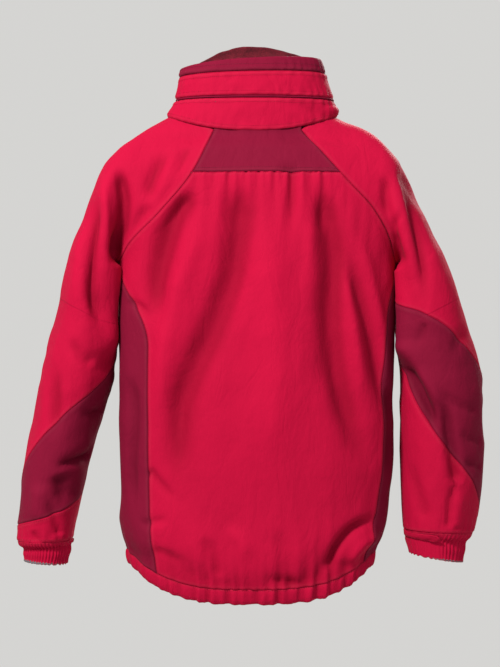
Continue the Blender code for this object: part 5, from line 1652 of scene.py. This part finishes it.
def closure(x, out, z):
    """A place on the front closure: x to the left, out from the zip's plane."""
    x, out, z = np.broadcast_arrays(np.asarray(x, float), np.asarray(out, float), np.asarray(z, float))
    return np.stack([x, zip_depth(z), z], -1) - out[..., None] * FRONT_IN


def zip_half(name, sign, place, length, tape, pitch, looks, node, body="shell"):
    """A zip tape with its moulded teeth; place(x, out, s) gives points, s running up the tape."""
    rows = max(20, int(length / 0.006))
    x, s = np.meshgrid(np.linspace(0.0016, tape, 7), np.linspace(0, length, rows))
    flat = np.zeros(x.shape)
    p = place(sign * x, flat + 0.0003 * ripple(s, 0.05, 3) * (x / tape), s)
    inward = place(flat, flat - 0.001, s) - place(flat, flat, s)
    cloth = Cloth()
    cloth.grid(p, thick=0.0008, out=-inward, slot=0, inner=0)
    count = int((length - pitch) / pitch)
    at = pitch * (np.arange(count) + (0.5 if sign > 0 else 1.0))
    near, far, half = BEAD_HALF_GAP, BEAD_END, pitch * 0.26
    profile = [(near, 0.62), (near + 0.0006, 1.0), (near + 0.0013, 0.80), (far - 0.0007, 1.0), (far, 0.66)]
    verts = []
    for xx, wide in profile:
        for out, tall in ((-BEAD / 2, 0.72), (-BEAD * 0.28, 1.0), (BEAD * 0.28, 1.0), (BEAD / 2, 0.72)):
            for up in (-1, 1):
                verts.append(place(np.full(count, sign * xx), np.full(count, out * (0.86 + 0.14 * wide)),
                                   at + up * half * wide * tall))
    verts = np.stack(verts, 1)
    faces = []
    n_out = 4                     # rows of a tooth's profile from its inside to its outside

    def v(i, j, k):
        return (i * n_out + j) * 2 + k
    for i in range(len(profile) - 1):
        for j in range(n_out - 1):
            faces.append((v(i, j, 0), v(i, j + 1, 0), v(i + 1, j + 1, 0), v(i + 1, j, 0)))
            faces.append((v(i, j, 1), v(i + 1, j, 1), v(i + 1, j + 1, 1), v(i, j + 1, 1)))
        faces.append((v(i, 0, 0), v(i + 1, 0, 0), v(i + 1, 0, 1), v(i, 0, 1)))
        faces.append((v(i, 3, 0), v(i, 3, 1), v(i + 1, 3, 1), v(i + 1, 3, 0)))
    for i, flip in ((0, False), (len(profile) - 1, True)):
        for j in range(n_out - 1):
            quad = (v(i, j, 0), v(i, j, 1), v(i, j + 1, 1), v(i, j + 1, 0))
            faces.append(quad[::-1] if flip else quad)
    faces = np.array(faces)
    a, b, c = verts[0][faces[0][0]], verts[0][faces[0][1]], verts[0][faces[0][2]]
    down = place(np.array(0.0), np.array(0.0), at[0] - 0.001) - place(np.array(0.0), np.array(0.0), at[0])
    if np.dot(np.cross(b - a, c - a), down) < 0:
        faces = faces[:, ::-1]
    everything = (np.arange(count)[:, None, None] * verts.shape[1] + faces[None]).reshape(-1, 4)
    cloth.add(verts.reshape(-1, 3), everything, 1)
    made = cloth.build(name, looks)
    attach(made, body)
    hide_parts(node)


def front_place(x, out, s):
    return closure(x, out, ZIP_BOTTOM + s / math.sqrt(1 + ZIP_SLOPE ** 2))


ZIP_LENGTH = (CLOSURE_TOP - ZIP_BOTTOM) * math.sqrt(1 + ZIP_SLOPE ** 2)
for side in ("left", "right"):
    zip_half(f"zip_front_{side}", SIGN[side], front_place, ZIP_LENGTH, TAPE_HALF - 0.0004, 0.0029,
             [front_tape, teeth_plastic], f"front_zip_{side}")


def strip(name, profile, low, high, looks, node, body, seed, thick=0.0010, corners=0.0, stitch=()):
    """Cloth with one cross-section all along the front closure."""
    profile = np.array(profile)
    run = np.concatenate([[0], np.cumsum(np.hypot(*np.diff(profile, axis=0).T))])
    at = np.linspace(0, run[-1], max(len(profile) * 2, int(run[-1] / 0.0028)))
    xs, outs = np.interp(at, run, profile[:, 0]), np.interp(at, run, profile[:, 1])
    zs = np.linspace(high, low, int((high - low) / 0.0070))
    x, z = np.meshgrid(xs, zs)
    out = np.broadcast_to(outs, x.shape).copy()
    if corners:
        half = (x.max() - x.min()) / 2
        edge = np.clip((corners - (x - x.min())) / corners, 0, 1)
        cut = corners * (1 - np.sqrt(np.maximum(0.0, 1 - edge ** 2)))
        ends = (zs - (high + low) / 2) / ((high - low) / 2)
        z = z - np.sign(ends)[:, None] * cut * (np.abs(ends)[:, None] ** 24)
        out = out + 0.0012 * np.sin((x - x.min()) / (2 * half) * math.pi)
    out = out + 0.0003 * (noise(np.stack([x, x * 0, z], -1), (0.03, 1.0, 0.055), seed) * 2.0)
    p = closure(x, out, z)
    cloth = Cloth()
    n = cloth.grid(p, thick=thick, out=-FRONT_IN, inner=3, height=(out - out.mean(0)) * 2)
    cloth.sew(p, n, stitch)
    made = cloth.build(name, looks)
    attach(made, body)
    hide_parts(node)
    return made, p


BASE_PROFILE = [(0.0402, 0.0004), (0.0394, 0.0040), (0.0388, 0.0078), (0.0376, 0.0090),
                (0.0308, 0.0090), (0.0297, 0.0078), (0.0292, 0.0040), (0.0288, 0.0004)]
LANDING_PROFILE = [(-0.0342, 0.0006), (-0.0332, 0.0050), (-0.0318, 0.0063),
                   (-0.0186, 0.0063), (-0.0172, 0.0050), (-0.0164, 0.0006)]
FLAP_PROFILE = [(FLAP_EDGE_X, FLAP_OUT + 0.0018), (FLAP_EDGE_X + 0.002, FLAP_OUT + 0.0026),
                (FLAP_HINGE_X - 0.002, FLAP_OUT + 0.0026), (FLAP_HINGE_X, FLAP_OUT + 0.0018)]
strip("cloth_storm_flap_base", BASE_PROFILE, FLAP_BOTTOM, FLAP_TOP, RED_SET, "storm_flap_base", "shell",
      101)
strip("cloth_storm_flap_landing", LANDING_PROFILE, FLAP_BOTTOM, FLAP_TOP - 0.020, RED_SET,
      "storm_flap_landing", "shell", 103, stitch=(("left", 0.008), ("right", 0.008)))
made, flap_grid = strip("cloth_storm_flap", FLAP_PROFILE, FLAP_BOTTOM, FLAP_TOP, RED_SET, "storm_flap",
                        "flap", 105, 0.0020, corners=0.014,
                        stitch=(("left", STITCH_IN), ("left", 0.0095), ("right", STITCH_IN),
                                ("right", 0.0085), ("top", STITCH_IN), ("bottom", STITCH_IN)))
declare(made, flap_grid)


def lathe(name, profile, centre, axis, looks, node, body, sides=28):
    """A turned part from (radius, height) pairs along an axis."""
    axis = np.asarray(axis, float) / np.linalg.norm(axis)
    a = np.cross(axis, (0.0, 0.0, 1.0))
    a /= np.linalg.norm(a)
    b = np.cross(axis, a)
    turn = np.linspace(0, 2 * math.pi, sides, endpoint=False)
    circle = np.cos(turn)[:, None] * a + np.sin(turn)[:, None] * b
    rings = [centre + axis * h + circle * r for r, h in profile]
    verts = np.concatenate(rings + [[centre + axis * profile[0][1]], [centre + axis * profile[-1][1]]])
    index = np.arange(len(profile) * sides).reshape(len(profile), sides)
    nxt = np.roll(index, -1, 1)
    quads = np.stack([index[:-1], nxt[:-1], nxt[1:], index[1:]], -1).reshape(-1, 4)
    low, high = len(profile) * sides, len(profile) * sides + 1
    ends = [np.stack([nxt[0], index[0], np.full(sides, low), np.full(sides, low)], -1),
            np.stack([index[-1], nxt[-1], np.full(sides, high), np.full(sides, high)], -1)]
    cloth = Cloth()
    cloth.add(verts, np.concatenate([quads, *ends]), 0)
    made = cloth.build(name, looks)
    shape = bmesh.new()
    shape.from_mesh(made.data)
    bmesh.ops.remove_doubles(shape, verts=shape.verts, dist=1e-7)
    bmesh.ops.recalc_face_normals(shape, faces=shape.faces)
    shape.to_mesh(made.data)
    shape.free()
    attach(made, body)
    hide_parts(node)


for number, z in enumerate(SNAP_HEIGHTS, 1):
    cap = [(0.0040, -0.0016), (0.0056, -0.0014), (0.0062, -0.0007), (0.0062, -0.0002), (0.0057, 0.0003),
           (0.0052, 0.0001), (0.0047, 0.0004), (0.0034, 0.0007), (0.0016, 0.0009), (0.0004, 0.0009)]
    lathe(f"snap_cap_domed_{number}", cap, closure(FLAP_EDGE_X + 0.0085, FLAP_OUT + 0.0042, z), -FRONT_IN,
          [dull_metal], f"snap_cap_{number}", "flap")
    stud = [(0.0044, -0.0012), (0.0045, -0.0004), (0.0040, -0.0001), (0.0031, -0.0003), (0.0025, -0.0002),
            (0.0022, 0.0006), (0.0023, 0.0010), (0.0018, 0.0013), (0.0004, 0.0013)]
    lathe(f"snap_stud_turned_{number}", stud, closure(FLAP_EDGE_X + 0.0085, 0.0078, z), -FRONT_IN,
          [dull_metal], f"snap_stud_{number}", "shell")


# ---------------------------------------------------------------- pockets
POCKET_X, POCKET_Z, POCKET_OUT = (0.056, 0.168), (-0.655, -0.490), 0.0165
POCKET_FLAP, POCKET_HINGE, POCKET_CORNER = 0.052, 0.012, 0.012
POCKET_ROWS = (0.0014, 0.0028, 0.0042, 0.0056, 0.0072)     # close rows of vertices round its edge
FLAP_ROOT = 0.0158            # how far the flap's upper edge stands off the front, at its hinge
FLAP_OVER, FLAP_CORNER, FLAP_MORE = 0.0048, 0.013, 0.003      # over the pocket, and past its sides


def on_front(side, x, z, out):
    """Points in front of a front panel: on its surface at x and z, then outwards."""
    angle = torso_angle(SIGN[side] * x, z, True)
    p, n = torso(angle, z), torso_normal(angle, z)
    return p + n * np.asarray(out)[..., None], n


def build_pocket(side):
    """A bellows pocket, its flap, and the strip that the flap hangs from."""
    (low_x, high_x), (low_z, high_z) = POCKET_X, POCKET_Z
    wide, tall = high_x - low_x, high_z - low_z
    u, v = np.meshgrid(spread(wide, (True, True), FINE * 0.8, POCKET_ROWS),
                       spread(tall, (True, False), FINE * 0.8, POCKET_ROWS))
    x, z = low_x + wide * u, low_z + tall * v
    ax, az = np.minimum(u, 1 - u) * wide, v * tall
    in_corner = (ax < POCKET_CORNER) & (az < POCKET_CORNER)
    round_edge = POCKET_CORNER - np.hypot(POCKET_CORNER - ax, POCKET_CORNER - az)
    edge = np.where(in_corner, np.maximum(round_edge, 0.0), np.minimum(ax, az))
    out = 0.0012 + (POCKET_OUT - 0.0012) * smooth(edge / 0.0066)
    out = out + 0.0008 * noise(np.stack([x, x * 0, z], -1), 0.035, 107) * smooth(edge / 0.012)
    out = out + 0.0010 * np.sin(math.pi * u) * smooth(edge / 0.02)
    out = out - 0.0004 * np.exp(-((edge - 0.0032) / 0.0012) ** 2)
    p, n = on_front(side, x, z, out)
    cloth = Cloth()
    normals = cloth.grid(p, thick=CLOTH_THICK, out=n, height=(out - POCKET_OUT) * 0.4, seams=edge + 0.001)
    cloth.sew(p, normals, (("left", 0.020), ("right", 0.020), ("top", 0.020), ("bottom", STITCH_IN),
                           ("bottom", 0.0190)))
    made = cloth.build(f"cloth_{side}_pocket", RED_SET)
    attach(made, "shell")
    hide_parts(f"{side}_pocket")
    declare(made, p)

    hinge_z = high_z + POCKET_HINGE
    flap_wide = wide + 2 * FLAP_MORE
    u, v = np.meshgrid(spread(flap_wide, (False, False), FINE * 0.8),
                       spread(POCKET_FLAP, (False, False), FINE * 0.8))
    x = low_x - FLAP_MORE + flap_wide * u
    ax = np.minimum(u, 1 - u) * flap_wide
    from_corner = np.clip((FLAP_CORNER - ax) / FLAP_CORNER, 0, 1)
    cut = FLAP_CORNER * (1 - np.sqrt(np.maximum(0.0, 1 - from_corner ** 2)))
    z = hinge_z - (POCKET_FLAP - cut) * v
    rise = smooth((hinge_z - z) / 0.009)
    out = FLAP_ROOT + (POCKET_OUT + FLAP_OVER - FLAP_ROOT) * rise + 0.0016 * np.sin(math.pi * u) * v
    out = out + 0.0005 * noise(np.stack([x, x * 0, z], -1), 0.03, 109)
    p, n = on_front(side, x, z, out)
    cloth = Cloth()
    normals = cloth.grid(p, thick=0.0020, out=n, inner=3)
    cloth.sew(p, normals, [(where, d) for d in (STITCH_IN, 0.0085) for where in ("left", "right", "bottom")])
    made = cloth.build(f"cloth_{side}_pocket_flap", RED_SET)
    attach(made, f"{side}_pocket_lid")
    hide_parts(f"{side}_pocket_flap")
    declare(made, p)

    u, v = np.meshgrid(np.linspace(0, 1, 34), np.linspace(0, 1, 9))
    x = low_x - 0.002 + (wide + 0.004) * u
    z = hinge_z + 0.0046 + 0.0130 * v
    out = 0.0008 + 0.0144 * (1 - smooth(v * 1.05)) ** 0.8 + 0.0002 * ripple(u * wide, 0.02, 111)
    p, n = on_front(side, x, z, out)
    cloth = Cloth()
    normals = cloth.grid(p, thick=CLOTH_THICK, out=n, inner=3)
    cloth.sew(p, normals, (("bottom", STITCH_IN),))
    made = cloth.build(f"cloth_{side}_pocket_flap_base", RED_SET)
    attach(made, "shell")
    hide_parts(f"{side}_pocket_flap_base")


# ---------------------------------------------------------------- side vent zip
SIDE_ZIP_ANGLE, SIDE_ZIP_Z, SIDE_ZIP_OUT = -22.0, (-0.714, -0.560), 0.0044


def side_place():
    """Where the side vent's zip lies: a function like closure, and its length."""
    low, high = torso(SIDE_ZIP_ANGLE, SIDE_ZIP_Z[0]), torso(SIDE_ZIP_ANGLE, SIDE_ZIP_Z[1])
    up = (high - low) / np.linalg.norm(high - low)
    tangent = torso(SIDE_ZIP_ANGLE + 3.0, SIDE_ZIP_Z[0]) - torso(SIDE_ZIP_ANGLE - 3.0, SIDE_ZIP_Z[0])
    across = tangent - up * (tangent @ up)
    across /= np.linalg.norm(across)
    inward = np.cross(up, across)

    def place(x, out, s):
        x, out, s = np.broadcast_arrays(np.asarray(x, float), np.asarray(out, float), np.asarray(s, float))
        return low + x[..., None] * across - (out + SIDE_ZIP_OUT)[..., None] * inward + s[..., None] * up
    return place, float(np.linalg.norm(high - low))


side_point, side_length = side_place()
for half_name, sign in (("front", -1.0), ("back", 1.0)):
    zip_half(f"zip_side_{half_name}", sign, side_point, side_length, 0.0108, 0.0026,
             [side_tape, teeth_maroon], f"side_zip_{half_name}")
for side in ("left", "right"):
    build_pocket(side)


# ---------------------------------------------------------------- cords
LOCK_X, CORD_RADIUS, KNOT_Z = 0.104, 0.0014, -0.7655
BRAID_TURN = 0.0040           # length in which a strand of the braid goes once round


def build_hem_cord(side):
    """Braided elastic end out of the hem casing, through its lock to a knot."""
    x = SIGN[side] * LOCK_X
    angle = torso_angle(x, -0.70, True)
    top = torso(angle, hem_height(angle))
    depth = top[1] + 0.0018
    start = np.array([x, depth, top[2] - 0.0008])
    end = np.array([x, depth, KNOT_Z + 0.0020])
    length = float(start[2] - end[2])
    rows = int(length / 0.0006)
    path = start + (end - start) * np.linspace(0, 1, rows)[:, None]
    cloth = Cloth()
    cloth.tube(path, CORD_RADIUS, 0, 18, twist=2 * math.pi / BRAID_TURN, lumps=0.055)
    made = cloth.build(f"cord_{side}_hem", [cord_braid])
    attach(made, "shell")
    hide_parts(f"{side}_hem_cord")
    tied = Cloth()
    t = np.linspace(0, 2 * math.pi, 90)
    knot = np.stack([np.sin(t) + 2 * np.sin(2 * t), np.cos(t) - 2 * np.cos(2 * t), -1.3 * np.sin(3 * t)], -1)
    knot = knot * 0.00062 + np.array([x, depth, KNOT_Z - 0.0002])
    tied.tube(knot, 0.00115, 0, 12, twist=2 * math.pi / BRAID_TURN, lumps=0.05, cap=False)
    knot_piece = tied.build(f"cord_{side}_knot", [cord_braid])
    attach(knot_piece, "shell")


def build_hanger_loop():
    """The loop inside the collar to hang the jacket by."""
    base = np.array([0.0095, 0.0200, -0.006])
    knots = np.array([(-0.030, 0, 0), (-0.0285, 0, -0.0075), (-0.0215, 0, -0.0155), (-0.010, 0, -0.0188),
                      (0.0, 0, -0.0192), (0.010, 0, -0.0188), (0.0215, 0, -0.0155), (0.0285, 0, -0.0075),
                      (0.030, 0, 0)])
    t = np.arange(len(knots), dtype=float)
    at = np.linspace(0, len(knots) - 1, 140)
    path = base + np.stack([curve(np.stack([t, knots[:, k]], 1), 1, at) for k in range(3)], -1)
    cloth = Cloth()
    cloth.tube(path, 0.0019, 0, 18, twist=2 * math.pi / 0.0050, lumps=0.05)
    made = cloth.build("cord_hanger_loop", [cord_braid])
    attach(made, "loop")
    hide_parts("hanger_loop")


for side in ("left", "right"):
    build_hem_cord(side)
build_hanger_loop()


# ---------------------------------------------------------------- small parts kept from the CAD
def finish_part(node, look, slot, width):
    """Rounds a CAD part's edges and gives it its material; its own vertices stay as they are."""
    part = NODES[node]
    part.data.materials.clear()
    part.data.materials.append(look)
    bevel = part.modifiers.new("rounded", "BEVEL")
    bevel.width, bevel.segments, bevel.limit_method = width, 3, "ANGLE"
    bevel.angle_limit = math.radians(40)
    bevel.harden_normals = False
    shade = part.modifiers.new("even_shading", "WEIGHTED_NORMAL")
    shade.keep_sharp = True


for node, look, slot, width in (
        ("front_zip_slider", dull_metal, "metal", 0.00035), ("front_zip_pull", dull_metal, "metal", 0.00030),
        ("side_zip_slider", ring_metal, "metal", 0.00035), ("side_zip_ring", ring_metal, "metal", 0.00020),
        ("front_zip_box", black_plastic, "toggle_plastic", 0.0006),
        ("left_cord_lock", black_plastic, "toggle_plastic", 0.0008),
        ("right_cord_lock", black_plastic, "toggle_plastic", 0.0008),
        ("left_cord_lock_button", black_plastic, "toggle_plastic", 0.0005),
        ("right_cord_lock_button", black_plastic, "toggle_plastic", 0.0005)):
    finish_part(node, look, slot, width)


# ---------------------------------------------------------------- stage, light and camera
FLOOR_Z, FLOOR_RADIUS = -1.28, 1.6
LIT_POINT = (0.0, 0.0, -0.35)
CAMERA_PLACE, CAMERA_LENS = (0.0128, 3.0, -0.3416), 100.6


def area_light(name, place, at, width, height, power_w, colour):
    """A rectangular lamp that points at a place."""
    data = bpy.data.lights.new(name, "AREA")
    data.shape, data.size, data.size_y = "RECTANGLE", width, height
    data.energy, data.color = power_w, colour
    lamp = bpy.data.objects.new(name, data)
    bpy.context.scene.collection.objects.link(lamp)
    lamp.location = place
    lamp.rotation_euler = (Vector(at) - Vector(place)).to_track_quat("-Z", "Y").to_euler()


def build_stage():
    """Floor, lamps and camera."""
    data = bpy.data.meshes.new("floor")
    shape = bmesh.new()
    bmesh.ops.create_circle(shape, cap_ends=True, radius=FLOOR_RADIUS, segments=96)
    shape.to_mesh(data)
    shape.free()
    floor = bpy.data.objects.new("floor", data)
    floor.location = (0.0, 0.0, FLOOR_Z)
    bpy.context.scene.collection.objects.link(floor)
    look = Look("floor_paint", 0.85)
    grain = look.noise(look.place(), 6.0, 3.0)
    look.colour(look.ramp(grain, [(0.3, (0.31, 0.31, 0.303)), (0.7, (0.35, 0.348, 0.34))]))
    data.materials.append(look.material)
    scene = bpy.context.scene
    world = bpy.data.worlds.new("studio")
    scene.world = world
    world.use_nodes = True
    backdrop = world.node_tree.nodes["Background"]
    backdrop.inputs["Color"].default_value = (0.665, 0.66, 0.645, 1.0)
    backdrop.inputs["Strength"].default_value = 1.0
    area_light("key", (1.55, 2.3, 1.75), LIT_POINT, 0.6, 0.6, 207.0, (1.0, 0.975, 0.945))
    area_light("fill", (-1.9, 2.0, 0.3), LIT_POINT, 1.4, 1.6, 10.0, (0.90, 0.95, 1.0))
    area_light("front_key", (-1.1, -2.3, 1.3), LIT_POINT, 0.9, 0.9, 150.0, (1.0, 0.98, 0.96))
    camera_data = bpy.data.cameras.new("camera")
    camera_data.sensor_width, camera_data.lens = 36.0, CAMERA_LENS
    camera_data.clip_end = 20.0
    camera = bpy.data.objects.new("camera", camera_data)
    camera.location = CAMERA_PLACE
    camera.rotation_euler = (math.radians(90), 0.0, math.radians(180))
    scene.collection.objects.link(camera)
    scene.camera = camera
    scene.view_settings.view_transform = "Standard"


build_stage()
